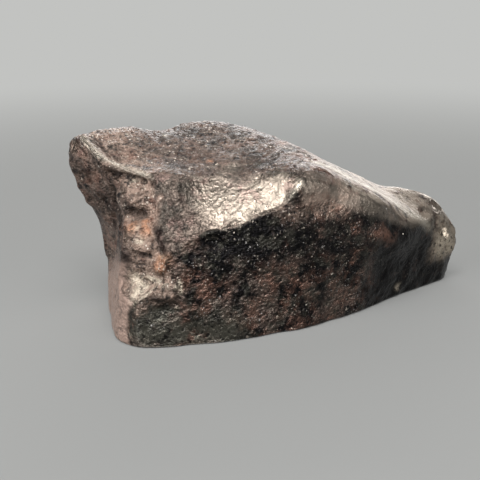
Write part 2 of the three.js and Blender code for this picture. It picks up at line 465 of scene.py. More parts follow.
@dataclass(frozen=True)
class StoneForm:
    """The stone's large form: near the solid's, with a few rounder joins and its own flank.

    Attributes:
        crisp: Rounding of the sharpest edges in mm, followed by ever blunter ones.
        worn: Rounding of the most worn edges in mm.
        swells: Height and width in mm of each layer of gentle swell.
        hump: The low hump behind the nose.
        shoulder: The lump at the top of the bright facet's ridge.
        lip_end: The swelling where the lip runs out.
        cheek: The low bulge on the right of the wall.
        scar_block: The block at the top of the scar.
        scar_knob: The knob over the scar's ledge.
        lip: The raised lip along the top of the broken end.
        grooves: The groove under the lip and the crease in the scar.
        hollows: Small dents and pits.
        thumbprints: Wide shallow hollows of the heel and the back.
    """

    crisp: float = 0.6
    plain: float = 0.8
    firm: float = 1.0
    spine: float = 1.2
    soft: float = 1.5
    blunt: float = 2.0
    worn: float = 2.5
    swells: tuple[tuple[float, float], ...] = ((0.3, 6.5), (0.16, 3.1))
    hump: Lump = Lump((53.8, 4.5, 9.4), (9.5, 6.5, 7.4), -8.0, 12.0)
    shoulder: Lump = Lump((26.3, -2.2, 21.7), (4.6, 3.6, 2.6), -20.0)
    lip_end: Lump = Lump((9.4, 6.2, 21.3), (4.6, 4.0, 2.4))
    cheek: Lump = Lump((43.6, -4.0, 11.2), (5.2, 1.9, 2.2), 12.0, 12.0)
    scar_block: Lump = Lump((4.9, 6.6, 20.2), (2.0, 2.6, 2.0), 40.0)
    scar_knob: Lump = Lump((5.4, -1.4, 11.9), (1.2, 1.1, 1.0))
    lip: Bar = Bar(
        0.75,
        (
            (1.5, 16.4, 27.3),
            (1.9, 13.2, 25.5),
            (2.5, 11.5, 24.4),
            (3.7, 10.2, 23.8),
            (5.5, 8.4, 23.5),
            (6.9, 5.4, 22.9),
        ),
    )
    grooves: tuple[Bar, ...] = (
        Bar(0.55, ((2.3, 10.6, 22.9), (4.0, 8.2, 22.8), (5.8, 5.6, 22.4))),
        Bar(0.45, ((2.6, 0.9, 13.2), (4.2, -1.2, 13.6))),
    )
    hollows: tuple[Lump, ...] = (
        Lump((3.2, 3.2, 18.2), (2.2, 2.2, 1.1), 40.0),
        Lump((3.4, -3.1, 4.9), (3.9, 1.5, 2.3), -16.0),
        Lump((12.1, -5.2, 14.9), (2.4, 1.5, 1.3), -16.0, 18.0),
        Lump((29.8, -7.6, 18.3), (3.2, 1.2, 1.2)),
        Lump((53.4, -2.0, 13.7), (1.3, 1.0, 1.0)),
        Lump((57.2, -0.3, 14.2), (1.2, 1.0, 0.9)),
        Lump((14.0, 17.0, 29.0), (3.4, 3.2, 2.0)),
        Lump((-1.9, 18.6, 25.9), (1.1, 1.6, 0.8)),
    )
    thumbprints: tuple[Lump, ...] = (
        Lump((0.9, 18.2, 10.4), (3.6, 4.6, 6.5), 22.0),
        Lump((9.0, 23.4, 14.0), (6.0, 3.2, 6.5), 8.0),
        Lump((27.0, 21.3, 10.0), (7.0, 3.4, 5.5), -20.0),
        Lump((41.0, 15.0, 12.0), (6.0, 3.2, 4.5), -28.0),
    )

    def left_end(self, points: Array) -> Array:
        """The broken left end: blunt foot, horn that juts over it, and the horn's tip.

        Args:
            points: Places in mm.

        Returns:
            Signed heights in mm.
        """
        foot = ridge(
            self.worn, Face.FOOT.value.over(points), Face.FOOT_CORNER.value.over(points)
        )
        under = valley(self.firm, foot, Face.HORN_UNDER.value.over(points))
        return ridge(
            self.plain, under, Face.HEEL.value.over(points), Face.HORN_TIP.value.over(points)
        )

    def scar(self, points: Array) -> Array:
        """The notch broken out of the front left corner, with the ledge that floors it.

        Args:
            points: Places in mm.

        Returns:
            Signed heights in mm.
        """
        back = ridge(
            self.plain, Face.SCAR_HIGH.value.over(points), Face.SCAR_LOW.value.over(points)
        )
        return valley(self.plain, Face.SCAR_LEDGE.value.over(points), back)

    def over(self, points: Array) -> Array:
        """Height over the stone: its flats first, then swell, lip, blocks, hollows and pits.

        Args:
            points: Places in mm.

        Returns:
            Signed heights in mm, zero on the stone's surface.
        """
        on = {face: face.value.over(points) for face in Face}
        wall_left = ridge(self.worn, on[Face.WALL_LEFT], on[Face.FOOT_CORNER])
        wall = ridge(self.soft, wall_left, on[Face.WALL_MIDDLE], on[Face.WALL_RIGHT])
        top = valley(self.firm, on[Face.PLATE], on[Face.CREST])
        height = ridge(
            self.soft, wall, on[Face.SLOPE_LEFT], on[Face.SLOPE_BRIGHT], on[Face.FLANK]
        )
        height = ridge(self.worn, height, top)
        height = valley(self.worn, height, self.shoulder.over(points), self.lip_end.over(points))
        spine = ridge(self.spine, on[Face.BAND], on[Face.CROWN])
        height = ridge(self.worn, height, valley(self.worn, spine, self.hump.over(points)))
        height = ridge(self.crisp, height, self.left_end(points))
        height = ridge(self.crisp, height, self.scar(points))
        nose = ridge(self.soft, on[Face.NOSE_END], on[Face.NOSE_TOP])
        back = ridge(self.worn, on[Face.BACK_LEFT], on[Face.BACK_RIGHT], on[Face.BACK_TOP])
        height = ridge(self.blunt, height, nose, back)
        for rise, width in self.swells:
            height = height - rise * lattice_swell(points, width)
        height = valley(
            self.plain, height, self.lip.over(points), self.scar_block.over(points)
        )
        height = valley(self.crisp, height, self.scar_knob.over(points))
        height = valley(self.worn, height, self.cheek.over(points))
        for groove in self.grooves:
            height = ridge(self.crisp, height, -groove.over(points))
        for hollow in self.hollows:
            height = ridge(self.plain, height, -hollow.over(points))
        for thumbprint in self.thumbprints:
            height = ridge(self.blunt, height, -thumbprint.over(points))
        return ridge(self.crisp, height, -points[..., 2])


# ---- Regions of the skin ----------------------------------------------------------------


@dataclass(frozen=True)
class Mark:
    """A fine line or dot on the skin.

    Attributes:
        width: Distance in mm at which it has faded to about a third.
        points: Points along it, mm from the foot corner; a single point makes a dot.
    """

    width: float
    points: tuple[Triple, ...]

    def share(self, points: Array) -> Array:
        """Share of the mark: exp(-(d / width)^2) of the distance d to its nearest point.

        Args:
            points: Places on the skin in mm.

        Returns:
            Shares from 0 to 1.
        """
        if len(self.points) == 1:
            distance = np.linalg.norm(points - np.array(self.points[0]), axis=-1)
        else:
            distance = Bar(0.0, self.points).over(points)
        return np.exp(-((distance / self.width) ** 2))


@dataclass(frozen=True)
class Stroke:
    """A fine line or dot that stands out of the skin or is sunk into it.

    Attributes:
        rise: Height in mm of its middle, below zero where it is sunk.
        width: Distance in mm at which it has faded to about a third.
        points: Points along it, mm from the foot corner; a single point makes a dot.
    """

    rise: float
    width: float
    points: tuple[Triple, ...]

    def over(self, points: Array) -> Array:
        """Returns how far the stroke lifts the skin at the points, in mm."""
        return self.rise * Mark(self.width, self.points).share(points)


LIP_STROKES = (
    Stroke(0.22, 0.5, ((1.2, 15.4, 27.5), (1.4, 12.9, 26.1), (2.5, 10.4, 24.3))),
    Stroke(0.22, 0.45, ((2.5, 10.4, 24.3), (4.5, 8.7, 24.3), (5.5, 6.9, 23.9), (6.7, 4.6, 23.0))),
    Stroke(-0.45, 0.4, ((3.2, 10.3, 22.8), (4.5, 8.4, 23.1), (6.2, 6.0, 22.5), (7.0, 4.0, 22.2))),
)
BLOCK_STROKES = (
    Stroke(0.35, 0.7, ((4.3, 7.6, 22.0), (4.9, 6.9, 22.0), (5.8, 6.2, 22.1))),
    Stroke(0.45, 1.2, ((3.8, 4.9, 20.2),)),
    Stroke(-0.65, 0.6, ((4.3, 9.7, 17.4), (3.7, 5.9, 18.1), (4.5, 4.9, 17.9), (5.2, 4.1, 18.0))),
    Stroke(-0.4, 0.35, ((5.8, 3.9, 20.8), (5.5, 3.4, 19.5), (5.4, 3.2, 18.0))),
    Stroke(0.25, 0.5, ((6.9, 3.7, 21.7), (6.7, 2.8, 20.4), (6.6, 2.1, 19.2))),
    Stroke(0.35, 0.7, ((3.1, 3.2, 16.7),)),
    Stroke(0.35, 0.7, ((4.7, 2.1, 17.2),)),
    Stroke(0.25, 0.5, ((4.3, 1.2, 16.2),)),
)
LEDGE_STROKES = (
    Stroke(-0.5, 0.38, ((3.1, 0.9, 13.1), (3.9, -0.2, 13.1), (4.4, -1.4, 12.9))),
    Stroke(0.35, 0.6, ((5.2, -2.2, 12.9),)),
    Stroke(0.25, 0.9, ((4.7, -2.3, 11.8),)),
    Stroke(0.3, 1.0, ((3.1, 1.5, 9.1),)),
    Stroke(0.35, 0.4, ((3.9, 0.2, 10.0), (4.9, -1.4, 9.2))),
    Stroke(0.32, 0.32, ((1.1, -0.8, 6.5), (2.5, -1.1, 7.5), (4.1, -1.7, 8.5), (5.3, -2.4, 9.1))),
    Stroke(0.28, 0.32, ((5.3, -2.4, 9.1), (6.6, -3.1, 8.8))),
    Stroke(-0.4, 0.9, ((2.8, -1.7, 6.8), (4.7, -2.0, 5.8), (6.2, -2.8, 6.2))),
    Stroke(0.2, 0.32, ((2.2, 1.6, 12.6), (2.3, 2.0, 10.7), (2.3, 2.2, 8.4), (1.4, 0.2, 7.0))),
)
BORDER_STROKES = (
    Stroke(-0.4, 0.42, ((6.6, 4.5, 22.7), (6.5, 3.3, 20.8), (6.0, 2.5, 18.9), (5.4, 1.4, 17.4))),
    Stroke(-0.4, 0.42, ((5.4, 1.4, 17.4), (4.8, 0.4, 15.9), (4.8, -0.6, 14.9), (4.9, -1.4, 14.1))),
    Stroke(-0.4, 0.42, ((4.9, -1.4, 14.1), (5.7, -2.6, 12.2), (6.1, -2.6, 11.1), (6.3, -2.8, 10.2))),
    Stroke(-0.35, 0.5, ((3.0, 10.4, 21.7), (4.1, 11.9, 17.7), (2.6, 4.1, 14.8), (2.2, 1.9, 11.8))),
)
HORN_STROKES = (
    Stroke(-0.7, 1.1, ((3.2, 14.0, 17.8),)),
    Stroke(-0.5, 0.7, ((3.4, 10.9, 20.4), (3.9, 12.5, 17.7), (4.6, 14.2, 14.1))),
    Stroke(-0.4, 0.7, ((1.0, 15.6, 22.4),)),
    Stroke(0.35, 0.8, ((0.2, 16.6, 24.2),)),
    Stroke(0.3, 0.9, ((1.5, 14.2, 22.6),)),
)
WALL_STROKES = (
    Stroke(0.2, 0.45, ((8.0, -3.0, 15.1), (13.8, -4.6, 16.8), (17.5, -5.2, 17.9), (21.3, -5.7, 18.6))),
    Stroke(0.25, 0.45, ((21.3, -5.7, 18.6), (22.8, -6.0, 19.6), (24.2, -6.8, 21.8), (25.3, -6.7, 22.8))),
    Stroke(0.22, 0.35, ((6.4, -1.5, 15.4), (10.1, -3.5, 15.6))),
    Stroke(-0.35, 0.9, ((11.9, -4.1, 14.8),)),
    Stroke(-0.3, 0.35, ((15.0, 1.4, 22.7), (15.7, 1.4, 22.9), (16.3, 1.1, 22.9))),
    Stroke(0.18, 0.5, ((28.6, -4.0, 24.7), (34.0, -6.2, 21.3), (38.0, -7.5, 18.0))),
    Stroke(0.18, 0.5, ((38.0, -7.5, 18.0), (46.8, -5.3, 14.1), (54.5, -2.0, 11.7))),
)
NOSE_STROKES = (
    Stroke(0.3, 0.7, ((56.6, -1.5, 7.6),)),
    Stroke(0.3, 0.7, ((59.8, -0.7, 7.1),)),
    Stroke(0.3, 0.8, ((58.3, -0.8, 5.1),)),
    Stroke(-0.35, 0.6, ((56.1, -1.5, 11.3),)),
    Stroke(-0.3, 0.5, ((57.9, -1.2, 9.0),)),
)
ORANGE_MARKS = (
    Mark(0.75, ((3.1, 3.2, 16.7),)),
    Mark(0.7, ((4.7, 2.1, 17.2), (4.3, 1.2, 16.2))),
    Mark(1.0, ((5.0, -2.2, 12.6), (4.7, -2.4, 11.6))),
    Mark(0.32, ((16.7, 4.9, 24.4),)),
)
PALE_MARKS = (
    Mark(0.35, ((3.5, 2.6, 16.7),)),
    Mark(0.5, ((5.3, -2.2, 13.0),)),
    Mark(0.5, ((5.2, 6.8, 22.1),)),
    Mark(0.6, ((3.4, 1.3, 15.1),)),
    Mark(0.9, ((2.9, 1.8, 9.2), (3.3, 0.4, 8.4), (2.1, 0.0, 7.6))),
    Mark(0.4, ((3.9, 0.2, 10.0), (4.9, -1.4, 9.2))),
    # These two thin pale lines lie on the ledge's raised ridges: pale rock, painted lighter as a
    # highlight along them.
    Mark(0.28, ((1.1, -0.8, 6.5), (2.5, -1.1, 7.5), (4.1, -1.7, 8.5), (5.3, -2.4, 9.1))),
    Mark(0.28, ((5.3, -2.4, 9.1), (6.6, -3.1, 8.8))),
    Mark(0.3, ((7.3, -3.2, 9.6), (7.4, -3.3, 8.2))),
    Mark(0.35, ((6.8, -3.1, 5.7),)),
    Mark(0.35, ((13.6, 13.6, 27.3),)),
    Mark(1.8, ((57.6, -1.3, 8.7), (59.4, -0.8, 6.7))),
    Mark(1.3, ((56.6, -1.5, 7.6), (57.4, -1.2, 6.2))),
    Mark(0.5, ((47.0, -2.9, 1.9),)),
)
RUST_MARKS = (
    Mark(2.0, ((27.5, -6.6, 18.9), (32.0, -6.4, 18.3))),
    Mark(1.3, ((22.5, -6.0, 18.8), (24.1, -6.3, 17.8))),
    Mark(0.7, ((6.7, 2.7, 20.2), (5.7, 2.1, 18.1))),
)
STAIN_MARKS = (
    Mark(1.3, ((37.4, -7.0, 13.6), (40.0, -6.9, 12.9), (42.6, -6.4, 12.2))),
    Mark(1.1, ((33.5, -6.6, 15.6), (35.2, -6.6, 14.4))),
)
SHADE_MARKS = (
    Mark(1.5, ((3.6, 13.5, 17.2), (3.3, 9.0, 15.5), (2.0, 5.2, 13.9), (1.6, 2.2, 12.5))),
    Mark(1.0, ((4.6, 14.2, 14.1),)),
    Mark(0.75, ((3.3, 5.4, 18.9), (4.4, 5.0, 18.4), (5.2, 4.1, 18.0))),
    Mark(0.55, ((5.5, 0.5, 16.8), (5.5, -0.9, 15.4), (5.5, -2.0, 13.9))),
    Mark(0.9, ((2.6, -1.5, 6.6), (4.3, -2.3, 7.0))),
    Mark(0.6, ((55.8, -1.3, 12.4),)),
)
BRIGHT_MARKS = (
    Mark(2.7, ((13.6, -1.2, 20.4), (16.0, -2.9, 19.8), (18.4, -3.6, 20.8), (21.7, -5.0, 21.9))),
    Mark(1.2, ((21.7, -5.0, 21.9), (23.4, -6.3, 21.5), (24.5, -6.9, 21.6))),
)
OLIVE_MARKS = (
    Mark(2.4, ((1.0, 0.2, 3.2), (3.0, -2.0, 2.1), (8.4, -3.9, 1.6), (13.9, -5.7, 1.9))),
    Mark(1.6, ((2.1, -1.0, 6.0), (4.7, -1.9, 4.7))),
)
# Lines along the lip, the band's rounded edge and the bright facet's top: worn smooth, and painted
# lighter as a highlight where those ridges catch the light.
POLISHED_HIGHLIGHT_MARKS = (
    Mark(0.45, ((0.9, 16.0, 27.7), (1.4, 13.3, 26.3), (2.6, 10.9, 25.0))),
    Mark(0.45, ((2.6, 10.9, 25.0), (4.2, 9.0, 24.1), (6.7, 4.7, 23.2))),
    Mark(0.9, ((30.5, -2.0, 24.4), (35.4, -2.5, 21.9), (42.8, -3.1, 17.9))),
    Mark(0.9, ((42.8, -3.1, 17.9), (47.6, -3.5, 14.9), (53.4, -2.5, 11.3))),
    Mark(0.4, ((22.8, -6.0, 19.8), (24.2, -6.8, 21.6), (25.0, -6.8, 22.4))),
)
# Dark crust and painted shade: the arch above the bright facet, which faces away from the light, a dark
# patch on the crest and a pit in the wall.
DARK_AND_SHADE_MARKS = (
    Mark(1.5, ((21.8, -2.6, 23.9), (23.4, -3.4, 24.2), (24.8, -5.0, 23.9))),
    Mark(1.3, ((20.5, 1.0, 24.1), (23.6, 0.4, 24.7), (25.1, -2.1, 24.7))),
    Mark(0.8, ((11.9, -4.1, 14.8),)),
)
SCAR_EDGE = (  # height in mm, and where the scar's right edge is along X there
    (8.8, 6.4),
    (11.2, 5.8),
    (14.1, 4.9),
    (15.9, 4.9),
    (17.4, 5.6),
    (18.9, 6.5),
    (23.0, 6.8),
)
STRIP_EDGE = ((0.0, 0.2), (1.0, 0.4), (2.5, 0.8), (4.8, 0.5), (6.9, -0.5), (9.1, -0.5))
FLANK_EDGE = ((24.0, 19.9), (28.0, 19.3), (31.0, 18.7), (36.0, 16.6), (42.0, 14.2), (48.0, 12.0))
FACE_EDGE = ((5.0, 12.6), (8.0, 14.6), (13.8, 16.3), (17.5, 17.5), (21.3, 18.3), (25.0, 20.6))
STREAK_FADE = (54.0, 44.0)  # where along X the band's flow lines begin, and are full
STROKES = (
    LIP_STROKES
    + BLOCK_STROKES
    + LEDGE_STROKES
    + BORDER_STROKES
    + HORN_STROKES
    + WALL_STROKES
    + NOSE_STROKES
)


@dataclass(frozen=True)
class RegionSpans:
    """Where each region fades in: the value that gives 0, then the value that gives 1.

    Places are in mm from the foot corner, distances in mm, and facings are parts of the unit
    normal. A span whose name ends in edge is counted from the line of that name.
    """

    flat_distance: Span = (1.3, 0.65)
    flat_facing: Span = (0.80, 0.93)
    top_facing: Span = (0.80, 0.90)
    top_height: Span = (18.0, 21.0)
    top_along: Span = (37.0, 31.0)
    end_distance: Span = (1.0, 0.6)
    end_facing: Span = (-0.55, -0.8)
    end_height: Span = (17.0, 12.0)
    strip_edge: Span = (-0.4, 0.5)
    scar_distance: Span = (2.6, 1.6)
    scar_edge: Span = (0.5, -0.2)
    scar_depth: Span = (11.5, 10.0)
    band_distance: Span = (2.6, 1.6)
    band_facing: Span = (0.56, 0.80)
    band_along: Span = (25.5, 32.0)
    flank_along: Span = (24.4, 25.6)
    flank_facing: Span = (-0.05, -0.35)
    flank_edge: Span = (-0.6, 0.8)
    face_upward: Span = (0.25, 0.45)
    face_forward: Span = (-0.12, -0.30)
    face_edge: Span = (-0.5, 0.6)
    nose_upward: Span = (0.15, 0.5)
    nose_height: Span = (3.6, 6.0)
    nose_along: Span = (53.5, 57.5)
    plate_along: Span = (11.5, 7.0)
    bright_along: Span = (10.0, 14.0)
    bright_end: Span = (25.6, 24.4)
    back_facing: Span = (0.35, 0.7)


SPANS = RegionSpans()


def on_flat(face: Face, points: Array, normals: Array) -> Array:
    """Share of a flat: 1 where the skin lies on it and faces its way, 0 where it doesn't.

    Args:
        face: The flat.
        points: Places on the skin in mm.
        normals: Outward unit normals there.

    Returns:
        Shares from 0 to 1.
    """
    close = ramp(np.abs(face.value.over(points)), *SPANS.flat_distance)
    return close * ramp(normals @ face.value.normal(), *SPANS.flat_facing)


@dataclass
class Regions:
    """Which part of the skin each point belongs to, as shares from 0 to 1.

    Attributes:
        points: Places on the skin in mm.
        normals: Outward unit normals there.
        form: The stone's large form.
        share: The share of each region, by name; worked out from the rest.
    """

    points: Array
    normals: Array
    form: StoneForm
    share: dict[str, Array] = field(default_factory=dict)

    def __post_init__(self) -> None:
        """Works out every region."""
        points, normals, form = self.points, self.normals, self.form
        x, y, z = points[:, 0], points[:, 1], points[:, 2]
        facing_x, facing_y, facing_z = normals[:, 0], normals[:, 1], normals[:, 2]
        ragged = Grain(Seed.REGION_EDGES).fractal(points, 2.4, 3)

        def flats(*faces: Face) -> Array:
            """Greatest share of the given flats."""
            return np.max([on_flat(face, points, normals) for face in faces], axis=0)

        top = ramp(facing_z, *SPANS.top_facing) * ramp(z, *SPANS.top_height)
        top = top * ramp(x, *SPANS.top_along)
        end = ramp(np.abs(form.left_end(points)), *SPANS.end_distance)
        end = end * ramp(facing_x, *SPANS.end_facing)
        low_end = ramp(z + 0.45 * y + 0.8 * ragged, *SPANS.end_height)
        strip_edge = np.interp(z, *zip(*STRIP_EDGE))
        strip = end * low_end * ramp(y - strip_edge + 0.3 * ragged, *SPANS.strip_edge)
        scar_edge = np.interp(z, *zip(*SCAR_EDGE))
        notch = ramp(np.abs(form.scar(points)), *SPANS.scar_distance)
        notch = notch * ramp(x - scar_edge + 0.4 * ragged, *SPANS.scar_edge)
        notch = notch * ramp(y, *SPANS.scar_depth) * (1.0 - top) * (1.0 - end)
        wall = flats(Face.WALL_LEFT, Face.WALL_MIDDLE, Face.WALL_RIGHT) * (1.0 - notch)
        wall = np.maximum(wall, end * low_end - strip)
        band = ramp(np.abs(Face.BAND.value.over(points)), *SPANS.band_distance)
        band = band * ramp(normals @ Face.BAND.value.normal(), *SPANS.band_facing)
        band = band * ramp(x + 1.6 * ragged, *SPANS.band_along)
        flank_edge = np.interp(x, *zip(*FLANK_EDGE))
        flank = ramp(x, *SPANS.flank_along) * ramp(facing_y, *SPANS.flank_facing) * (1.0 - band)
        front = np.maximum(wall, flank * (1.0 - top))
        flank = flank * (1.0 - top) * ramp(z - flank_edge + 0.7 * ragged, *SPANS.flank_edge)
        wall = np.maximum(front - flank, 0.0)
        face_edge = np.interp(x, *zip(*FACE_EDGE))
        face = ramp(facing_z, *SPANS.face_upward) * ramp(facing_y, *SPANS.face_forward)
        face = face * (1.0 - top) * (1.0 - notch)
        face = face * ramp(z - face_edge + 1.1 * ragged, *SPANS.face_edge)
        wall = wall * (1.0 - face)
        bright = ramp(x, *SPANS.bright_along)
        upper = ramp(facing_z, *SPANS.nose_upward)
        knobs = ramp(z + 0.9 * ragged, *SPANS.nose_height)
        nose = ramp(x + 1.3 * ragged, *SPANS.nose_along) * np.maximum(upper, knobs)
        self.share = {
            "top": top,
            "plate": top * ramp(x + 1.5 * ragged, *SPANS.plate_along),
            "strip": strip,
            "horn": end * (1.0 - low_end),
            "scar": notch,
            "slope": face * ramp(x, *SPANS.bright_along[::-1]),
            "hot": face * bright * ramp(x, *SPANS.bright_end),
            "band": band,
            "flank": flank,
            "nose": nose,
            "knobbly": nose * knobs * (1.0 - upper),
            "back": ramp(facing_y, *SPANS.back_facing),
            "wall": wall,
        }

    def __getitem__(self, name: str) -> Array:
        """Returns the share of the named region."""
        return self.share[name]

    def total(self, **weights: float) -> Array:
        """Sums regions' shares by weight.

        Args:
            **weights: The weight of each region that counts, by name.

        Returns:
            The sum, cut off at 1.
        """
        parts = [weight * self[name] for name, weight in weights.items()]
        return clamp(np.sum(parts, axis=0))


@dataclass(frozen=True)
class Relief:
    """The fine relief of the skin, in mm, region by region.

    Attributes:
        mottle: Height of the general unevenness.
        grain: Height of the speckled grain on the top.
        wrinkle: Height of the folds in the bright melt.
        streak: Height of the flow lines along the band.
        chip: Height of the chipped facets of the broken end.
        lump: Height of the lumps on the horn and the walls.
        pit: Depth of the scattered pits.
    """

    mottle: float = 0.09
    grain: float = 0.14
    wrinkle: float = 0.055
    streak: float = 0.045
    chip: float = 0.30
    lump: float = 0.40
    pit: float = 0.36

    def over(self, points: Array, regions: Regions) -> Array:
        """Height of the relief over the form.

        Args:
            points: Places on the form in mm.
            regions: Their regions.

        Returns:
            Heights in mm, positive outward.
        """
        grainy = regions.total(top=1.0, nose=0.15, knobbly=0.8, back=0.5, wall=0.4)
        wrinkled = regions.total(hot=1.0, slope=0.6, top=0.25)
        rough = regions.total(scar=1.0, horn=0.55)
        lumpy = regions.total(horn=1.0, wall=0.45, knobbly=0.6)
        pitted = 0.75 * regions["wall"] + 0.8 * regions["knobbly"] + 0.5 * regions["back"]
        height = self.mottle * Grain(Seed.MOTTLE).fractal(points, 2.2, 4)
        height += self._grain(points) * grainy
        height += self._wrinkles(points) * wrinkled
        height += self._streaks(points) * regions["band"] * ramp(points[:, 0], *STREAK_FADE)
        height += self._chips(points) * rough
        height += self.lump * Grain(Seed.LUMPS).waves(points, 2.3) * lumpy
        height -= self._pits(points) * clamp(pitted + 0.5 * rough)
        for stroke in STROKES:
            height += stroke.over(points)
        return height

    def _grain(self, points: Array) -> Array:
        """Speckled grain: cells with raised middles and sunk rims, broken up by noise.

        Args:
            points: Places on the form in mm.

        Returns:
            Heights in mm.
        """
        first, second, _ = Grain(Seed.GRAIN_CELLS).chips(points, 1.25)
        cells = ramp(second - first, 0.0, 0.45) - 0.5
        waves = Grain(Seed.GRAIN_WAVES).waves(points, 0.8)
        return self.grain * (0.8 * cells + 0.9 * waves)

    def _wrinkles(self, points: Array) -> Array:
        """Wrinkled melt: thin crests, exp(-(n / w)^2), on places bent by wider noise.

        Args:
            points: Places on the form in mm.

        Returns:
            Heights in mm.
        """
        down = Face.SLOPE_BRIGHT.value.normal()
        bend = np.stack([Grain(seed).waves(points, 3.6) for seed in WRINKLE_BEND], axis=-1)
        places = points + 1.1 * bend
        along = np.cross(down, [0.0, 0.0, 1.0])
        along /= np.linalg.norm(along)
        fall = np.cross(down, along)
        line = 0.85 * fall + 0.53 * along
        places = places - 0.62 * (places @ line)[..., None] * line
        crests = np.exp(-((Grain(Seed.WRINKLE_CRESTS).waves(places, 1.4) / 0.24) ** 2))
        lines = np.exp(-((Grain(Seed.WRINKLE_LINES).waves(places, 0.9) / 0.28) ** 2))
        return self.wrinkle * (0.9 * crests + 0.5 * lines - 0.4)

    def _streaks(self, points: Array) -> Array:
        """Flow lines: noise stretched eight times along the band's long edge.

        Args:
            points: Places on the form in mm.

        Returns:
            Heights in mm.
        """
        line = np.array([0.86, -0.06, -0.50])
        line /= np.linalg.norm(line)
        bend = Grain(Seed.STREAK_BEND).waves(points, 7.0)[..., None] * np.array([0.0, 0.6, 0.3])
        places = points + bend
        places = places - 0.88 * (places @ line)[..., None] * line
        wide = Grain(Seed.STREAKS_WIDE).waves(places, 1.3)
        narrow = Grain(Seed.STREAKS_NARROW).waves(places, 0.7)
        return self.streak * (wide + 0.6 * narrow)

    def _chips(self, points: Array) -> Array:
        """Chipped rock: a plane of random slope in each cell, two sizes, with fine crumbs.

        Args:
            points: Places on the form in mm.

        Returns:
            Heights in mm.
        """
        _, _, wide = Grain(Seed.CHIPS_WIDE).chips(points, 3.1)
        first, second, narrow = Grain(Seed.CHIPS_NARROW).chips(points, 1.5)
        crumbs = Grain(Seed.CHIP_CRUMBS).fractal(points, 0.9, 2)
        cracks = ramp(second - first, 0.12, 0.0)
        return self.chip * (0.9 * wide + 0.5 * narrow + 0.22 * crumbs - 0.2 * cracks)

    def _pits(self, points: Array) -> Array:
        """Scattered round pits, wide and narrow.

        Args:
            points: Places on the form in mm.

        Returns:
            Depths in mm.
        """
        wide = Grain(Seed.PITS_WIDE).pits(points, 2.6, 0.30, 0.28)
        narrow = Grain(Seed.PITS_NARROW).pits(points, 1.3, 0.32, 0.3)
        return self.pit * (wide + 0.55 * narrow)


# ---- The skin ---------------------------------------------------------------------------


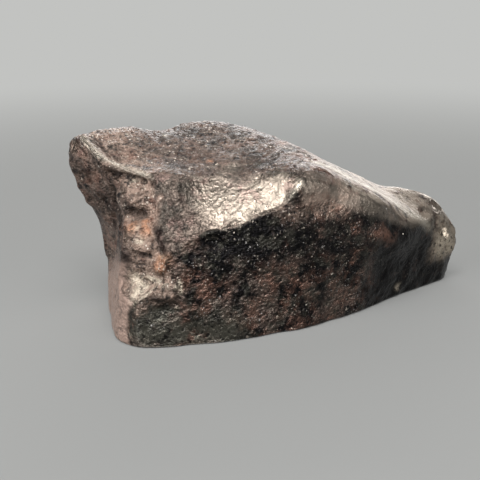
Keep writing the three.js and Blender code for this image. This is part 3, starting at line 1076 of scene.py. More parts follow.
@dataclass
class StoneSkin:
    """The stone's whole outside as one closed mesh.

    Attributes:
        form: The stone's large form.
        relief: The fine relief over it.
        blank: Size in mm of the box lattice round the heart.
        squares: Squares of the lattice along X, Y and Z.
        taper: How much narrower the lattice is at the nose.
        reach: Distance in mm from the heart past every face.
        halvings: Steps of the search for the surface.
        foot_fade: Heights in mm between which the relief grows over the resting face.
        narrow_passes: Smoothing passes that show small pits.
        wide_passes: Smoothing passes that show wide hollows.
    """

    form: StoneForm = field(default_factory=StoneForm)
    relief: Relief = field(default_factory=Relief)
    blank: Triple = (68.0, 32.0, 28.0)
    squares: tuple[int, int, int] = (190, 100, 100)
    taper: float = 0.6
    reach: float = 60.0
    halvings: int = 24
    foot_fade: Span = (0.0, 0.7)
    narrow_passes: int = 3
    wide_passes: int = 30

    def lattice(self) -> tuple[Array, Array]:
        """Lays the closed box lattice: whole-number places on its six sides, merged.

        Returns:
            Places in mm round the heart, and the quads' corner numbers, facing out.
        """
        count = np.array(self.squares)
        quads = []
        for axis in range(3):
            first, second = [other for other in range(3) if other != axis]
            u, v = np.meshgrid(
                np.arange(count[first]), np.arange(count[second]), indexing="ij"
            )
            for side in (0, count[axis]):
                corners = []
                for du, dv in ((0, 0), (1, 0), (1, 1), (0, 1)):
                    place = np.zeros(u.shape + (3,), dtype=np.int64)
                    place[..., axis] = side
                    place[..., first] = u + du
                    place[..., second] = v + dv
                    corners.append(place.reshape(-1, 3))
                quad = np.stack(corners, axis=1)
                outward = (side > 0) != (axis == 1)
                quads.append(quad if outward else quad[:, ::-1])
        places = np.concatenate(quads)
        keys = places @ PLACE_KEYS
        _, first_use, numbers = np.unique(keys, return_index=True, return_inverse=True)
        merged = places.reshape(-1, 3)[first_use].astype(float)
        spread = (merged / count - 0.5) * np.array(self.blank)
        spread[:, 1] *= 1.0 - self.taper * np.maximum(spread[:, 0], 0.0) * 2.0 / self.blank[0]
        return spread, numbers.reshape(-1, 4)

    def surface(self, blank: Array) -> Array:
        """Pushes lattice places out along rays from the heart to the form, by halving.

        Args:
            blank: Places of the lattice in mm round the heart.

        Returns:
            Places on the form in mm from the foot corner.
        """
        rays = blank / np.linalg.norm(blank, axis=1, keepdims=True)
        inside = np.zeros(len(rays))
        outside = np.full(len(rays), self.reach)
        for _ in range(self.halvings):
            middle = (inside + outside) / 2.0
            within = self.form.over(HEART_MM + rays * middle[:, None]) < 0.0
            inside = np.where(within, middle, inside)
            outside = np.where(within, outside, middle)
        return HEART_MM + rays * inside[:, None]

    @staticmethod
    def normals(places: Array, quads: Array) -> Array:
        """Averages the crossed diagonals of the quads round each corner.

        Args:
            places: Corner places.
            quads: Corner numbers of each quad.

        Returns:
            Outward unit normals at the corners.
        """
        a, b, c, d = (places[quads[:, corner]] for corner in range(4))
        faces = np.cross(c - a, d - b)
        total = np.zeros_like(places)
        for corner in range(4):
            for axis in range(3):
                total[:, axis] += np.bincount(
                    quads[:, corner], weights=faces[:, axis], minlength=len(places)
                )
        return total / np.maximum(np.linalg.norm(total, axis=1, keepdims=True), 1e-12)

    @staticmethod
    def hollowness(places: Array, normals: Array, quads: Array, passes: int) -> Array:
        """How sunk each corner is: its depth under the skin smoothed by neighbour means.

        Args:
            places: Corner places in mm.
            normals: Outward normals.
            quads: Corner numbers of each quad.
            passes: Smoothing passes; more of them show wider hollows.

        Returns:
            Depths in mm, positive in hollows.
        """
        smooth = places.copy()
        ends = np.concatenate([quads, np.roll(quads, 1, axis=1)], axis=1).reshape(-1)
        others = np.concatenate([np.roll(quads, 1, axis=1), quads], axis=1).reshape(-1)
        count = np.bincount(ends, minlength=len(places))
        for _ in range(passes):
            mean = np.stack(
                [
                    np.bincount(ends, weights=smooth[others, axis], minlength=len(places))
                    for axis in range(3)
                ],
                axis=1,
            )
            smooth = 0.5 * smooth + 0.5 * mean / count[:, None]
        return np.sum((smooth - places) * normals, axis=1)

    def build(self) -> bpy.types.Object:
        """Makes the stone's mesh with its relief and the masks that its finish reads.

        Returns:
            The stone's object, at the origin.
        """
        blank, quads = self.lattice()
        base = self.surface(blank)
        normals = self.normals(base, quads)
        regions = Regions(base, normals, self.form)
        rise = self.relief.over(base, regions) * ramp(base[:, 2], *self.foot_fade)
        skin = base + normals * rise[:, None]
        low, high = (np.array(corner) / MM - FOOT_MM for corner in CAD_BOX)
        skin = np.clip(skin, low, high)
        normals = self.normals(skin, quads)
        masks = self.masks(skin, normals, quads, regions)

        mesh = bpy.data.meshes.new("stone_skin")
        mesh.vertices.add(len(skin))
        mesh.vertices.foreach_set("co", ((skin + FOOT_MM) * MM).astype(np.float32).ravel())
        mesh.loops.add(quads.size)
        mesh.loops.foreach_set("vertex_index", quads.ravel().astype(np.int32))
        mesh.polygons.add(len(quads))
        mesh.polygons.foreach_set("loop_start", np.arange(0, quads.size, 4, dtype=np.int32))
        mesh.polygons.foreach_set("use_smooth", np.ones(len(quads), dtype=bool))
        for name, values in masks.items():
            layer = mesh.attributes.new(name, "FLOAT", "POINT")
            layer.data.foreach_set("value", values.astype(np.float32))
        mesh.update(calc_edges=True)
        mesh.validate()
        skin_object = bpy.data.objects.new("stone_skin", mesh)
        bpy.context.scene.collection.objects.link(skin_object)
        return skin_object

    def masks(
        self, skin: Array, normals: Array, quads: Array, regions: Regions
    ) -> dict[str, Array]:
        """Works out the shares that the finish reads.

        Args:
            skin: Corner places in mm.
            normals: Outward normals.
            quads: Corner numbers of each quad.
            regions: The skin's regions.

        Returns:
            Shares from 0 to 1 by name.
        """
        narrow = self.hollowness(skin, normals, quads, self.narrow_passes)
        wide = self.hollowness(skin, normals, quads, self.wide_passes)
        x, z = skin[:, 0], skin[:, 2]
        wall, band, total = regions["wall"], regions["band"], regions.total
        ragged = Grain(Seed.MASK_EDGES).fractal(skin, 4.5, 4)
        speck = Grain(Seed.MASK_SPECKS).fractal(skin, 1.6, 3)
        bend = np.stack([Grain(seed).fractal(skin, 1.6, 3) for seed in MARK_BEND], axis=-1)
        bent = skin + 0.7 * bend

        def marked(marks: tuple[Mark, ...], places: Array = bent) -> Array:
            """Greatest share of the given marks at the places."""
            return np.max([mark.share(places) for mark in marks], axis=0)

        rusted, dark, olive = marked(RUST_MARKS), marked(DARK_AND_SHADE_MARKS), marked(OLIVE_MARKS)
        stained = np.maximum(rusted, marked(STAIN_MARKS))
        polished_highlight = marked(POLISHED_HIGHLIGHT_MARKS, skin)
        # Black crust, deepened as painted shade on the wall under the shoulder and on its overhanging
        # right end.
        under = wall * ramp(z + 3.2 * ragged, 9.5, 13.0) * ramp(x, 8.0, 12.0)
        right = wall * ramp(x + 3.0 * ragged, 37.0, 42.0)
        black = clamp(under + right) * (1.0 - 0.4 * ramp(speck, 0.2, 0.6))
        black = np.maximum(black, 0.85 * regions["back"] * ramp(ragged, 0.05, -0.35))
        rusty = total(wall=0.66, back=0.4, scar=0.5, horn=0.75, top=0.2)
        rusty = rusty * ramp(ragged, -0.3, 0.25) + stained + 0.26 * regions["top"]
        rusty = rusty + 0.52 * regions["plate"] + 0.7 * band + 0.3 * dark
        bare = total(plate=0.65, top=0.1, scar=0.85, horn=0.3, nose=0.7)
        # Worn metal colour, partly painted sheen: laid where the bright facet, flank and band catch the
        # lights, and lighter towards the band's nose end.
        wear_and_sheen = total(slope=0.14, flank=0.36, top=0.06, nose=0.75, hot=0.60)
        wear_and_sheen = clamp(wear_and_sheen + (0.22 + 0.58 * ramp(x, 28.0, 38.0)) * band)
        foil = clamp(1.2 * marked(BRIGHT_MARKS)) * regions["hot"]
        speckled = total(
            top=0.8, plate=0.2, wall=0.35, scar=0.9, horn=0.6, nose=0.8, flank=0.2, back=0.5
        )
        speckled = speckled * (1.0 - 0.6 * olive) * (1.0 - 0.8 * right)
        metal = total(
            hot=1.0, slope=0.9, band=0.7, flank=0.8, top=0.18, nose=0.35, wall=0.85, back=0.6,
            scar=0.15, horn=0.3, strip=0.2,
        )
        smooth = total(hot=0.85, slope=0.6, band=0.85, flank=0.8, strip=0.7, nose=0.5, wall=0.4)
        bumpy = 1.0 - smooth + 0.5 * regions["knobbly"] - 0.5 * right - 0.35 * olive * wall
        # How much painted shade each region takes in the grain's low places and in hollows.
        crevice_shade = 1.0 - total(
            hot=0.95, slope=0.8, band=0.95, flank=0.85, strip=0.7, scar=0.4, horn=0.2
        )
        return {
            "tan": np.maximum(bare, 0.6 * rusted),
            "salmon": regions["strip"],
            "sheen": wear_and_sheen * (1.0 - 0.8 * dark),
            "foil": foil * (1.0 - 0.7 * dark),
            "olive": olive * (1.0 - regions["strip"]),
            "polished_highlight": polished_highlight,
            "shade": marked(SHADE_MARKS),
            "speckled": np.maximum(speckled, rusted),
            "metal": metal * (1.0 - 0.6 * rusted),
            "gritty": clamp(wall * (1.0 - 0.85 * right) * (1.0 - 0.5 * olive) + dark),
            "black": np.maximum(black * (1.0 - stained) * (1.0 - olive), 0.55 * dark),
            "rust": clamp(rusty),
            "orange": marked(ORANGE_MARKS),
            "pale": marked(PALE_MARKS),
            "broken": total(scar=0.7, horn=0.6, strip=1.0),
            "bumpy": np.maximum(bumpy, 0.8 * dark),
            "crevice_shade": np.maximum(crevice_shade, 0.7 * dark) * (1.0 - polished_highlight),
            "crested": regions["top"] * (1.0 - regions["plate"]),
            "wrinkled": total(hot=1.0, slope=0.9),
            "stranded": band * ramp(x, *STREAK_FADE),
            # Depths of small pits and wide hollows, which the finish reads to lay painted shade in them.
            "pitted": ramp(narrow, 0.0, 0.10) * (1.0 - 0.8 * regions["hot"]),
            "hollow_shade": ramp(wide, 0.05, 0.45),
        }


# ---- Finish -----------------------------------------------------------------------------


class Wiring:
    """Lays shader nodes and wires them in plain calls."""

    def __init__(self, tree: bpy.types.NodeTree) -> None:
        """Keeps the tree.

        Args:
            tree: The node tree that gets the nodes.
        """
        self.tree = tree

    def node(self, kind: str, values: dict | None = None, **settings: object) -> bpy.types.Node:
        """Adds a node.

        Args:
            kind: Its Blender type.
            values: Sockets by name or number, and what feeds each: a socket or a value.
            **settings: The node's own settings.

        Returns:
            The new node.
        """
        node = self.tree.nodes.new(kind)
        for name, setting in settings.items():
            setattr(node, name, setting)
        for name, value in (values or {}).items():
            if isinstance(value, bpy.types.NodeSocket):
                self.tree.links.new(value, node.inputs[name])
            else:
                node.inputs[name].default_value = value
        return node

    def mask(self, name: str) -> Socket:
        """Returns the skin's share of that name."""
        return self.node("ShaderNodeAttribute", attribute_name=name).outputs["Fac"]

    def math(self, how: str, *values: object) -> Socket:
        """Combines numbers.

        Args:
            how: The operation.
            *values: Sockets or numbers.

        Returns:
            The result, which isn't clamped.
        """
        inputs = dict(enumerate(values))
        return self.node("ShaderNodeMath", inputs, operation=how).outputs[0]

    def _chain(self, how: str, values: tuple[object, ...]) -> Socket:
        """Combines two or more numbers by one operation, from left to right.

        Args:
            how: The operation.
            values: Sockets or numbers.

        Returns:
            The result.
        """
        result = values[0]
        for value in values[1:]:
            result = self.math(how, result, value)
        return result

    def times(self, *values: object) -> Socket:
        """Returns the product of the sockets or numbers."""
        return self._chain("MULTIPLY", values)

    def most(self, *values: object) -> Socket:
        """Returns the greatest of the sockets or numbers."""
        return self._chain("MAXIMUM", values)

    def grade(self, value: Socket, low: float, high: float, out: Span = (0.0, 1.0)) -> Socket:
        """Maps a value smoothly from low and high to the two ends of out.

        Args:
            value: The value to grade.
            low: Value that gives the first end.
            high: Value that gives the second end.
            out: The two ends.

        Returns:
            The graded value.
        """
        inputs = {"Value": value, 1: low, 2: high, 3: out[0], 4: out[1]}
        return self.node(
            "ShaderNodeMapRange", inputs, interpolation_type="SMOOTHSTEP"
        ).outputs["Result"]

    def noise(self, place: Socket, scale: object, detail: float, bend: float) -> Socket:
        """Adds fractal noise.

        Args:
            place: Where it is read.
            scale: Its waves in a metre, a socket or a number.
            detail: Its octaves.
            bend: How far it is bent.

        Returns:
            Its height, 0 to 1 about one half.
        """
        inputs = {"Vector": place, "Scale": scale, "Detail": detail, "Distortion": bend}
        return self.node("ShaderNodeTexNoise", inputs).outputs["Fac"]

    def blend(self, share: object, under: object, over: object) -> Socket:
        """Lays one colour over another.

        Args:
            share: How much of the upper colour shows.
            under: The lower colour.
            over: The upper colour.

        Returns:
            The mixed colour.
        """
        node = self.node("ShaderNodeMix", data_type="RGBA")
        for number, value in ((0, share), (6, under), (7, over)):
            if isinstance(value, bpy.types.NodeSocket):
                self.tree.links.new(value, node.inputs[number])
            else:
                node.inputs[number].default_value = value
        return node.outputs[2]


class Pattern(Enum):
    """Shader node groups that the finish places several times."""

    BLOTCHES = "blotches"
    SPECKS = "specks"
    STRANDS = "strands"


def group_shell(
    name: str,
    numbers: dict[str, float],
    vectors: tuple[str, ...] = ("Vector",),
    output: str = "Share",
) -> tuple[bpy.types.NodeTree, Wiring]:
    """Starts a shader node group with the given inputs and one number output.

    Args:
        name: The group's name.
        numbers: Its number inputs and their usual values.
        vectors: Its vector inputs, which come first.
        output: The output's name.

    Returns:
        The group and the wiring in it.
    """
    tree = bpy.data.node_groups.new(name, "ShaderNodeTree")
    for label in vectors:
        tree.interface.new_socket(label, in_out="INPUT", socket_type="NodeSocketVector")
    for label, usual in numbers.items():
        socket = tree.interface.new_socket(label, in_out="INPUT", socket_type="NodeSocketFloat")
        socket.default_value = usual
    tree.interface.new_socket(output, in_out="OUTPUT", socket_type="NodeSocketFloat")
    return tree, Wiring(tree)


def blotches_group() -> bpy.types.NodeTree:
    """Builds ragged blotches: fractal noise cut between two levels.

    Returns:
        The node group.
    """
    tree, wire = group_shell(
        Pattern.BLOTCHES.value, {"Scale": 300.0, "Low": 0.45, "High": 0.55, "Shift": 0.0}
    )
    inlet = wire.node("NodeGroupInput").outputs
    moved = wire.node(
        "ShaderNodeVectorMath", {0: inlet["Vector"], 1: inlet["Shift"]}, operation="ADD"
    )
    noise = wire.node(
        "ShaderNodeTexNoise",
        {"Vector": moved.outputs[0], "Scale": inlet["Scale"], "Detail": 6.0, "Roughness": 0.62},
    )
    cut = wire.node(
        "ShaderNodeMapRange",
        {"Value": noise.outputs["Fac"], 1: inlet["Low"], 2: inlet["High"]},
        interpolation_type="SMOOTHSTEP",
    )
    wire.node("NodeGroupOutput", {"Share": cut.outputs["Result"]})
    return tree


def specks_group() -> bpy.types.NodeTree:
    """Builds scattered specks: small discs round some of the cell centres.

    Returns:
        The node group.
    """
    tree, wire = group_shell(
        Pattern.SPECKS.value, {"Scale": 1200.0, "Radius": 0.25, "Share kept": 0.3}
    )
    inlet = wire.node("NodeGroupInput").outputs
    bend = wire.node("ShaderNodeTexNoise", {"Vector": inlet["Vector"], "Scale": 2500.0})
    bent = wire.node(
        "ShaderNodeVectorMath",
        {0: bend.outputs["Color"], 1: (0.0005, 0.0005, 0.0005), 2: inlet["Vector"]},
        operation="MULTIPLY_ADD",
    )
    cells = wire.node(
        "ShaderNodeTexVoronoi", {"Vector": bent.outputs[0], "Scale": inlet["Scale"]}
    )
    draw = wire.node("ShaderNodeSeparateColor", {0: cells.outputs["Color"]})
    kept = wire.math("LESS_THAN", draw.outputs[0], inlet["Share kept"])
    size = wire.math("MULTIPLY_ADD", draw.outputs[1], 0.6, 0.4)
    radius = wire.times(inlet["Radius"], size)
    core = wire.times(radius, 0.55)
    disc = wire.node(
        "ShaderNodeMapRange",
        {"Value": cells.outputs["Distance"], 1: radius, 2: core},
        interpolation_type="SMOOTHSTEP",
    )
    wire.node("NodeGroupOutput", {"Share": wire.times(disc.outputs[0], kept)})
    return tree


def strands_group() -> bpy.types.NodeTree:
    """Builds strands: noise on places that are pressed together along a line.

    Returns:
        The node group.
    """
    tree, wire = group_shell(
        Pattern.STRANDS.value, {"Scale": 1500.0}, ("Vector", "Line"), "Height"
    )
    inlet = wire.node("NodeGroupInput").outputs
    along = wire.node(
        "ShaderNodeVectorMath",
        {0: inlet["Vector"], 1: inlet["Line"]},
        operation="DOT_PRODUCT",
    )
    back = wire.times(along.outputs["Value"], -0.92)
    pull = wire.node(
        "ShaderNodeVectorMath", {0: inlet["Line"], "Scale": back}, operation="SCALE"
    )
    pressed = wire.node(
        "ShaderNodeVectorMath", {0: inlet["Vector"], 1: pull.outputs[0]}, operation="ADD"
    )
    height = wire.noise(pressed.outputs[0], inlet["Scale"], 3.0, 0.35)
    wire.node("NodeGroupOutput", {"Height": height})
    return tree


class Patterns:
    """The finish's repeating patterns, all read at the place on the stone."""

    def __init__(self, wire: Wiring) -> None:
        """Builds the node groups.

        Args:
            wire: The material's wiring.
        """
        self.wire = wire
        self.place = wire.node("ShaderNodeTexCoord").outputs["Object"]
        self.groups = {
            Pattern.BLOTCHES: blotches_group(),
            Pattern.SPECKS: specks_group(),
            Pattern.STRANDS: strands_group(),
        }

    def _placed(self, pattern: Pattern, values: dict[str, object]) -> Socket:
        """Places a pattern's group.

        Args:
            pattern: The pattern.
            values: The group's inputs by name.

        Returns:
            The group's output.
        """
        inputs = {"Vector": self.place, **values}
        node = self.wire.node("ShaderNodeGroup", inputs, node_tree=self.groups[pattern])
        return node.outputs[0]

    def blotch(self, scale: float, low: float, high: float, shift: float) -> Socket:
        """Ragged blotches.

        Args:
            scale: Their waves in a metre.
            low: Noise height at which a blotch begins.
            high: Noise height at which it is full.
            shift: How far the noise is moved, in metres, so that blotches don't coincide.

        Returns:
            Their share.
        """
        values = {"Scale": scale, "Low": low, "High": high, "Shift": shift}
        return self._placed(Pattern.BLOTCHES, values)

    def speck(self, scale: float, radius: float, kept: float) -> Socket:
        """Scattered specks.

        Args:
            scale: Cells in a metre.
            radius: Radius of the largest specks, in cells.
            kept: Share of the cells that hold a speck.

        Returns:
            Their share.
        """
        values = {"Scale": scale, "Radius": radius, "Share kept": kept}
        return self._placed(Pattern.SPECKS, values)

    def strand(self, line: Triple, scale: float) -> Socket:
        """Returns the height of strands along a line, with so many waves in a metre."""
        return self._placed(Pattern.STRANDS, {"Line": line, "Scale": scale})

    def patches(self, mask: str, low: float, scale: float, shift: float) -> Socket:
        """The named mask of the skin with its edges broken up by blotches.

        Args:
            mask: The mask's name.
            low: Noise height at which a blotch begins.
            scale: The blotches' waves in a metre.
            shift: How far their noise is moved, in metres.

        Returns:
            The share of the patches.
        """
        ragged = self.blotch(scale, low, low + PATCH_EDGE, shift)
        return self.wire.times(self.wire.mask(mask), ragged)


@dataclass(frozen=True)
class CrustFinish:
    """The stone's finish: glossy dark crust, worn metal sheen with painted sheen and highlights, tan
    rock, rust, flecks, painted shade.

    Attributes:
        black: Colour of the glassy crust, also laid as painted shade in pits, hollows and crevices.
        brown: Colour of the thinner crust.
        rust: Colour of the weathered crust.
        tan: Colour of bare rock.
        worn: Colour of crust worn to a metal, and of the lighter painted sheen where the facets and the
            band catch the lights.
        foil: Colour of the bright wrinkled melt.
        blush: Colour of the reddish patches in it.
        polish_highlight: Colour of the ridges that are worn smooth, lighter still as a painted highlight
            along the lip and the band's edge.
        crease_shade: Colour of painted shade in the creases of the wrinkled melt.
        salmon: Colour of the smooth old break at the foot.
        pale: Colour of the freshly chipped rock.
        orange: Colour of the rust spots.
        olive: Colour of the dull crust at the foot.
        shade: Colour of the deep cracks and cavities of the broken end.
        grit: Colour of the fine grey grains in the wall.
        crumb: Colour of the small pale grains.
        fleck_glint: Colour of the bright metal grains and of the painted glints scattered over the wall.
        band_line: Direction of the flow lines on the band.
        crest_line: Direction of the fine streaks on the crest.
    """

    black: Colour = (0.006, 0.0055, 0.006, 1.0)
    brown: Colour = (0.085, 0.063, 0.053, 1.0)
    rust: Colour = (0.170, 0.092, 0.068, 1.0)
    tan: Colour = (0.300, 0.215, 0.170, 1.0)
    worn: Colour = (0.385, 0.325, 0.265, 1.0)
    foil: Colour = (0.222, 0.188, 0.154, 1.0)
    blush: Colour = (0.220, 0.145, 0.125, 1.0)
    polish_highlight: Colour = (0.430, 0.385, 0.320, 1.0)
    crease_shade: Colour = (0.110, 0.080, 0.070, 1.0)
    salmon: Colour = (0.270, 0.190, 0.155, 1.0)
    pale: Colour = (0.560, 0.480, 0.380, 1.0)
    orange: Colour = (0.390, 0.200, 0.120, 1.0)
    olive: Colour = (0.072, 0.068, 0.055, 1.0)
    shade: Colour = (0.020, 0.013, 0.011, 1.0)
    grit: Colour = (0.240, 0.225, 0.215, 1.0)
    crumb: Colour = (0.560, 0.480, 0.400, 1.0)
    fleck_glint: Colour = (0.700, 0.640, 0.560, 1.0)
    band_line: Triple = (0.864, -0.060, -0.500)
    crest_line: Triple = (0.866, -0.500, 0.0)

    def material(self) -> bpy.types.Material:
        """Builds the material.

        Returns:
            The material.
        """
        material = bpy.data.materials.new("fusion_crust")
        material.use_nodes = True
        material.node_tree.nodes.clear()
        wire = Wiring(material.node_tree)
        pick = Patterns(wire)

        grain = self.grain(wire, pick.place)
        flow = pick.strand(self.band_line, 1500.0)
        creases = self.creases(pick)
        # Painted shade: black share for sunk pits and hollows.
        hollow = self.hollow(wire)
        grit = wire.most(pick.speck(3300.0, 0.50, 0.16), pick.speck(1900.0, 0.42, 0.12))
        grit = wire.times(grit, wire.mask("gritty"), pick.blotch(330.0, 0.50, 0.60, 0.37))
        clusters = wire.grade(pick.blotch(230.0, 0.44, 0.58, 0.2), 0.0, 1.0, (0.10, 1.0))
        crumbs = wire.most(pick.speck(1400.0, 0.36, 0.20), pick.speck(2600.0, 0.46, 0.34))
        crumbs = wire.times(crumbs, wire.mask("speckled"), clusters)
        # Flecks: bright metal grains. The denser layer over the speckled skin also stands in as painted
        # glints, most of all on the wall.
        flecks = wire.times(pick.speck(2300.0, 0.3, 0.14), wire.mask("speckled"))
        flecks = wire.most(pick.speck(900.0, 0.22, 0.028), flecks)

        colour = self.crust_colour(pick, grain, flow, creases)
        haze = wire.times(wire.mask("gritty"), pick.blotch(620.0, 0.48, 0.62, 0.27), 0.42)
        for share, over in (
            # painted shade in pits and hollows
            (hollow, self.black),
            (haze, self.olive),
            (grit, self.grit),
            (crumbs, self.crumb),
            (wire.times(flecks, 0.8), self.fleck_glint),
        ):
            colour = wire.blend(share, colour, over)

        grains = wire.most(crumbs, grit, flecks)
        stony = wire.math("SUBTRACT", 1.0, wire.times(grains, 0.8))
        metal = wire.times(wire.mask("metal"), stony)
        raised = wire.grade(grain, 0.52, 0.64)
        roughness = wire.grade(raised, 0.0, 1.0, (0.36, 0.24))
        broken = wire.grade(wire.mask("broken"), 0.0, 1.0, (0.0, 0.08))
        roughness = wire.math("ADD", roughness, broken)
        roughness = wire.math("ADD", roughness, wire.times(hollow, 0.15))
        roughness = wire.math("MULTIPLY_ADD", wire.mask("stranded"), 0.10, roughness)

        height = self.micro_relief(wire, grain, flow, creases, pick.speck(1700.0, 0.42, 0.30))
        bump = wire.node(
            "ShaderNodeBump", {"Height": height, "Strength": 1.0, "Distance": 0.0016}
        )

        surface = wire.node(
            "ShaderNodeBsdfPrincipled",
            {
                "Base Color": colour,
                "Roughness": roughness,
                "Metallic": metal,
                "Normal": bump.outputs["Normal"],
                "Specular IOR Level": 0.25,
            },
        )
        wire.node("ShaderNodeOutputMaterial", {"Surface": surface.outputs[0]})
        return material

    def crust_colour(
        self, pick: Patterns, grain: Socket, flow: Socket, creases: Socket
    ) -> Socket:
        """Lays the colours of the crust and the rock over one another, from below.

        Args:
            pick: The finish's patterns.
            grain: Height of the grain.
            flow: Height of the band's strands.
            creases: Share of the thin creases in the wrinkled melt.

        Returns:
            The colour, without hollows and grains.
        """
        wire = pick.wire
        crested, drift = wire.mask("crested"), pick.strand(self.crest_line, 2000.0)
        # Black crust, partly painted shade under the shoulder and on the overhanging right wall.
        dark = wire.times(wire.mask("black"), pick.blotch(330.0, 0.72, 0.56, 0.052))
        lit = wire.times(crested, wire.grade(drift, 0.58, 0.68, (0.0, 0.4)))
        dim = wire.times(crested, wire.grade(drift, 0.50, 0.38), 0.8)
        stripe = wire.times(wire.mask("stranded"), wire.grade(flow, 0.50, 0.40), 0.4)
        # Worn metal colour, partly painted sheen where the facets catch the lights.
        wear_and_sheen = wire.most(pick.patches("sheen", 0.32, 650.0, 0.094), lit)
        wear_and_sheen = wire.most(wire.math("SUBTRACT", wear_and_sheen, stripe), 0.0)
        flush = wire.times(wire.mask("wrinkled"), pick.blotch(400.0, 0.52, 0.64, 0.31), 0.5)
        # Painted shade: black laid in the grain's low places, its small crevices.
        gap_shade = wire.times(wire.grade(grain, 0.49, 0.37), wire.times(wire.mask("crevice_shade"), 0.85))
        colour: Colour | Socket = self.black
        for share, over in (
            (pick.blotch(260.0, 0.46, 0.56, 0.0), self.brown),
            (pick.patches("rust", 0.42, 420.0, 0.031), self.rust),
            (dark, self.black),
            (pick.patches("olive", 0.30, 600.0, 0.061), self.olive),
            (pick.patches("tan", 0.36, 800.0, 0.073), self.tan),
            (pick.patches("salmon", 0.27, 700.0, 0.084), self.salmon),
            (wear_and_sheen, self.worn),
            (dim, self.brown),
            (pick.patches("foil", 0.22, 380.0, 0.44), self.foil),
            (flush, self.blush),
            # painted highlight along the worn lip and band ridges
            (wire.times(wire.mask("polished_highlight"), 0.8), self.polish_highlight),
            # painted shade in the melt's creases
            (wire.times(creases, 0.5), self.crease_shade),
            (pick.patches("pale", 0.30, 1500.0, 0.105), self.pale),
            (pick.patches("orange", 0.30, 1100.0, 0.115), self.orange),
            (pick.patches("shade", 0.26, 900.0, 0.21), self.shade),
            # painted shade in the grain's crevices
            (gap_shade, self.black),
        ):
            colour = wire.blend(share, colour, over)
        return colour

    @staticmethod
    def creases(pick: Patterns) -> Socket:
        """Thin creases where bent noise crosses its middle, fainter on the brightest melt.

        Args:
            pick: The finish's patterns.

        Returns:
            Their share.
        """
        wire = pick.wire
        curl = wire.math("SUBTRACT", wire.noise(pick.place, 1000.0, 3.0, 1.3), 0.5)
        lines = wire.grade(wire.math("ABSOLUTE", curl), 0.030, 0.0)
        smooth = wire.grade(wire.mask("foil"), 0.0, 1.0, (1.0, 0.25))
        return wire.times(lines, wire.mask("wrinkled"), smooth)

    @staticmethod
    def hollow(wire: Wiring) -> Socket:
        """Painted shade: black laid in sunk pits and wide hollows.

        Args:
            wire: The material's wiring.

        Returns:
            Their share.
        """
        pits = wire.grade(wire.mask("pitted"), 0.3, 1.0, (0.0, 0.8))
        hollows = wire.grade(wire.mask("hollow_shade"), 0.3, 1.0, (0.0, 0.7))
        return wire.times(wire.most(pits, hollows), wire.mask("crevice_shade"))

    @staticmethod
    def grain(wire: Wiring, place: Socket) -> Socket:
        """Grain of the crust: wide noise, fine noise and small pits added up.

        Args:
            wire: The material's wiring.
            place: The place on the stone.

        Returns:
            The grain's height, 0 to 1 about one half.
        """
        wide = wire.noise(place, 1050.0, 3.0, 0.3)
        fine = wire.noise(place, 2700.0, 3.0, 0.0)
        pits = wire.node("ShaderNodeTexVoronoi", {"Vector": place, "Scale": 1500.0})
        height = wire.math("MULTIPLY_ADD", fine, 0.38, wire.times(wide, 0.40))
        return wire.math("MULTIPLY_ADD", pits.outputs["Distance"], 0.22, height)

    @staticmethod
    def micro_relief(
        wire: Wiring, grain: Socket, flow: Socket, creases: Socket, holes: Socket
    ) -> Socket:
        """Relief too fine for the mesh: grain and holes, sunk creases, and strands.

        Args:
            wire: The material's wiring.
            grain: Height of the grain.
            flow: Height of the band's strands.
            creases: Share of the thin creases in the wrinkled melt.
            holes: Share of the tiny holes.

        Returns:
            The height, about 0 to 1.
        """
        height = wire.math("SUBTRACT", grain, wire.times(holes, 0.10))
        height = wire.times(height, wire.mask("bumpy"))
        height = wire.math("MULTIPLY_ADD", creases, -0.035, height)
        return wire.math("MULTIPLY_ADD", wire.times(flow, 0.13), wire.mask("stranded"), height)


# ---- Studio -----------------------------------------------------------------------------


@dataclass(frozen=True)
class Softbox:
    """A plain rectangular studio light.

    Attributes:
        name: Its name.
        at: Its middle in metres.
        aim: The point it faces in metres.
        size: Its width and height in metres.
        radiance: How bright its face is.
    """

    name: str
    at: Triple
    aim: Triple
    size: tuple[float, float]
    radiance: float

    def build(self) -> bpy.types.Object:
        """Hangs the light.

        Returns:
            The light's object.
        """
        light = bpy.data.lights.new(self.name, "AREA")
        light.shape = "RECTANGLE"
        light.size, light.size_y = self.size
        light.energy = self.radiance * math.pi * self.size[0] * self.size[1]
        lamp = bpy.data.objects.new(self.name, light)
        lamp.location = self.at
        way = Vector(self.aim) - Vector(self.at)
        lamp.rotation_euler = way.to_track_quat("-Z", "Y").to_euler()
        lamp.visible_camera = False
        bpy.context.scene.collection.objects.link(lamp)
        return lamp


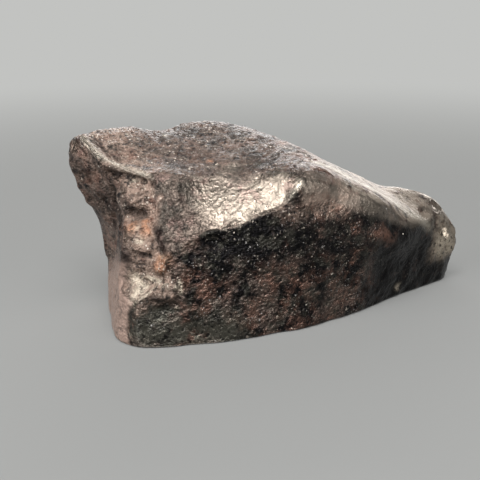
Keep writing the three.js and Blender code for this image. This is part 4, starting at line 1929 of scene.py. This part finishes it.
@dataclass(frozen=True)
class Studio:
    """Pale floor, soft lights and the camera.

    Attributes:
        eye: The camera's place in metres.
        azimuth: Which way it looks round Z, in degrees from +Y towards +X.
        dip: How far it looks down, in degrees.
        view: Its angle of view in degrees.
        ambient: Brightness of the room.
        backdrop: How bright the room looks past the floor.
        air: Colour of the room.
        floor_half: Half the floor's width in metres.
        floor_fade: Distances in metres from the stone between which the floor turns to glow.
        near_paint: Colour of the floor by the stone.
        far_paint: Colour of the floor far off, where it only glows.
        near_glow: Light that the floor gives off by the stone.
        far_glow: Light that it gives off far from the stone.
        softboxes: The lights.
    """

    eye: Triple = (-0.0759, -0.1183, 0.050)
    azimuth: float = 30.0
    dip: float = 16.1
    view: float = 29.93
    ambient: float = 0.16
    backdrop: float = 0.55
    air: Colour = (0.97, 0.98, 0.96, 1.0)
    floor_half: float = 8.0
    floor_fade: Span = (0.05, 0.34)
    near_paint: Colour = (0.14, 0.141, 0.138, 1.0)
    far_paint: Colour = (0.0, 0.0, 0.0, 1.0)
    near_glow: Colour = (0.12, 0.121, 0.118, 1.0)
    far_glow: Colour = (0.54, 0.545, 0.532, 1.0)
    softboxes: tuple[Softbox, ...] = (
        Softbox("overhead_softbox", (-0.14, -0.20, 0.42), (-0.01, 0.0, 0.02), (0.34, 0.34), 10.0),
        Softbox("top_back_softbox", (0.20, 0.34, 0.50), (0.0, 0.0, 0.01), (0.35, 0.30), 1.2),
        Softbox("left_softbox", (-0.50, -0.08, 0.20), (0.0, 0.0, 0.01), (0.34, 0.30), 7.0),
        Softbox("back_softbox", (1.30, 1.30, 0.50), (0.0, 0.0, 0.10), (1.80, 0.80), 3.6),
        Softbox("far_softbox", (1.30, 2.40, 1.30), (1.30, 2.40, 0.0), (1.80, 1.00), 9.0),
        Softbox("right_softbox", (0.27, -0.60, 0.25), (0.0, 0.0, 0.01), (0.34, 0.30), 4.0),
        Softbox("sparkle_light", (-0.15, -0.40, 0.42), (0.0, 0.0, 0.01), (0.10, 0.10), 14.0),
    )

    def floor(self) -> bpy.types.Object:
        """Lays the floor: one wide square under the stone.

        Returns:
            The floor's object.
        """
        half = self.floor_half
        mesh = bpy.data.meshes.new("floor")
        corners = [(-half, -half, 0.0), (half, -half, 0.0), (half, half, 0.0), (-half, half, 0.0)]
        mesh.from_pydata(corners, [], [(0, 1, 2, 3)])
        material = bpy.data.materials.new("pale_floor")
        material.use_nodes = True
        paint = material.node_tree.nodes["Principled BSDF"].inputs
        wire = Wiring(material.node_tree)
        place = wire.node("ShaderNodeTexCoord").outputs["Object"]
        reach = wire.node("ShaderNodeVectorMath", {0: place}, operation="LENGTH")
        far = wire.grade(reach.outputs["Value"], *self.floor_fade)
        matt = wire.blend(far, self.near_paint, self.far_paint)
        glow = wire.blend(far, self.near_glow, self.far_glow)
        material.node_tree.links.new(matt, paint["Base Color"])
        material.node_tree.links.new(glow, paint["Emission Color"])
        paint["Emission Strength"].default_value = 1.0
        paint["Roughness"].default_value = 0.8
        paint["Specular IOR Level"].default_value = 0.0
        mesh.materials.append(material)
        floor = bpy.data.objects.new("floor", mesh)
        bpy.context.scene.collection.objects.link(floor)
        return floor

    def camera(self) -> bpy.types.Object:
        """Sets up the camera.

        Returns:
            The camera's object.
        """
        lens = bpy.data.cameras.new("camera")
        lens.angle = math.radians(self.view)
        lens.clip_start = 0.01
        camera = bpy.data.objects.new("camera", lens)
        camera.location = self.eye
        turn, dip = math.radians(self.azimuth), math.radians(self.dip)
        level = math.cos(dip)
        way = Vector((math.sin(turn) * level, math.cos(turn) * level, -math.sin(dip)))
        camera.rotation_euler = way.to_track_quat("-Z", "Y").to_euler()
        bpy.context.scene.collection.objects.link(camera)
        bpy.context.scene.camera = camera
        return camera

    def build(self) -> None:
        """Builds the floor, lights, room and camera."""
        self.floor()
        for softbox in self.softboxes:
            softbox.build()
        room = bpy.data.worlds.new("room")
        room.use_nodes = True
        wire = Wiring(room.node_tree)
        seen = wire.node("ShaderNodeLightPath").outputs["Is Camera Ray"]
        strength = wire.grade(seen, 0.0, 1.0, (self.ambient, self.backdrop))
        background = room.node_tree.nodes["Background"].inputs
        background["Color"].default_value = self.air
        room.node_tree.links.new(strength, background["Strength"])
        bpy.context.scene.world = room
        bpy.context.scene.view_settings.view_transform = "Standard"
        self.camera()


# ---- Build ------------------------------------------------------------------------------


def main() -> None:
    """Builds the stone and the studio."""
    logging.basicConfig(level=logging.INFO, format="%(name)s: %(message)s")
    stone = StoneSkin().build()
    stone.data.materials.append(CrustFinish().material())
    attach(stone, "root")
    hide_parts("stone")
    LOG.info("stone skin: %d corners, %d quads", len(stone.data.vertices), len(stone.data.polygons))
    Studio().build()
    LOG.info("studio: floor, softboxes, camera")


if __name__ == "__main__":
    main()
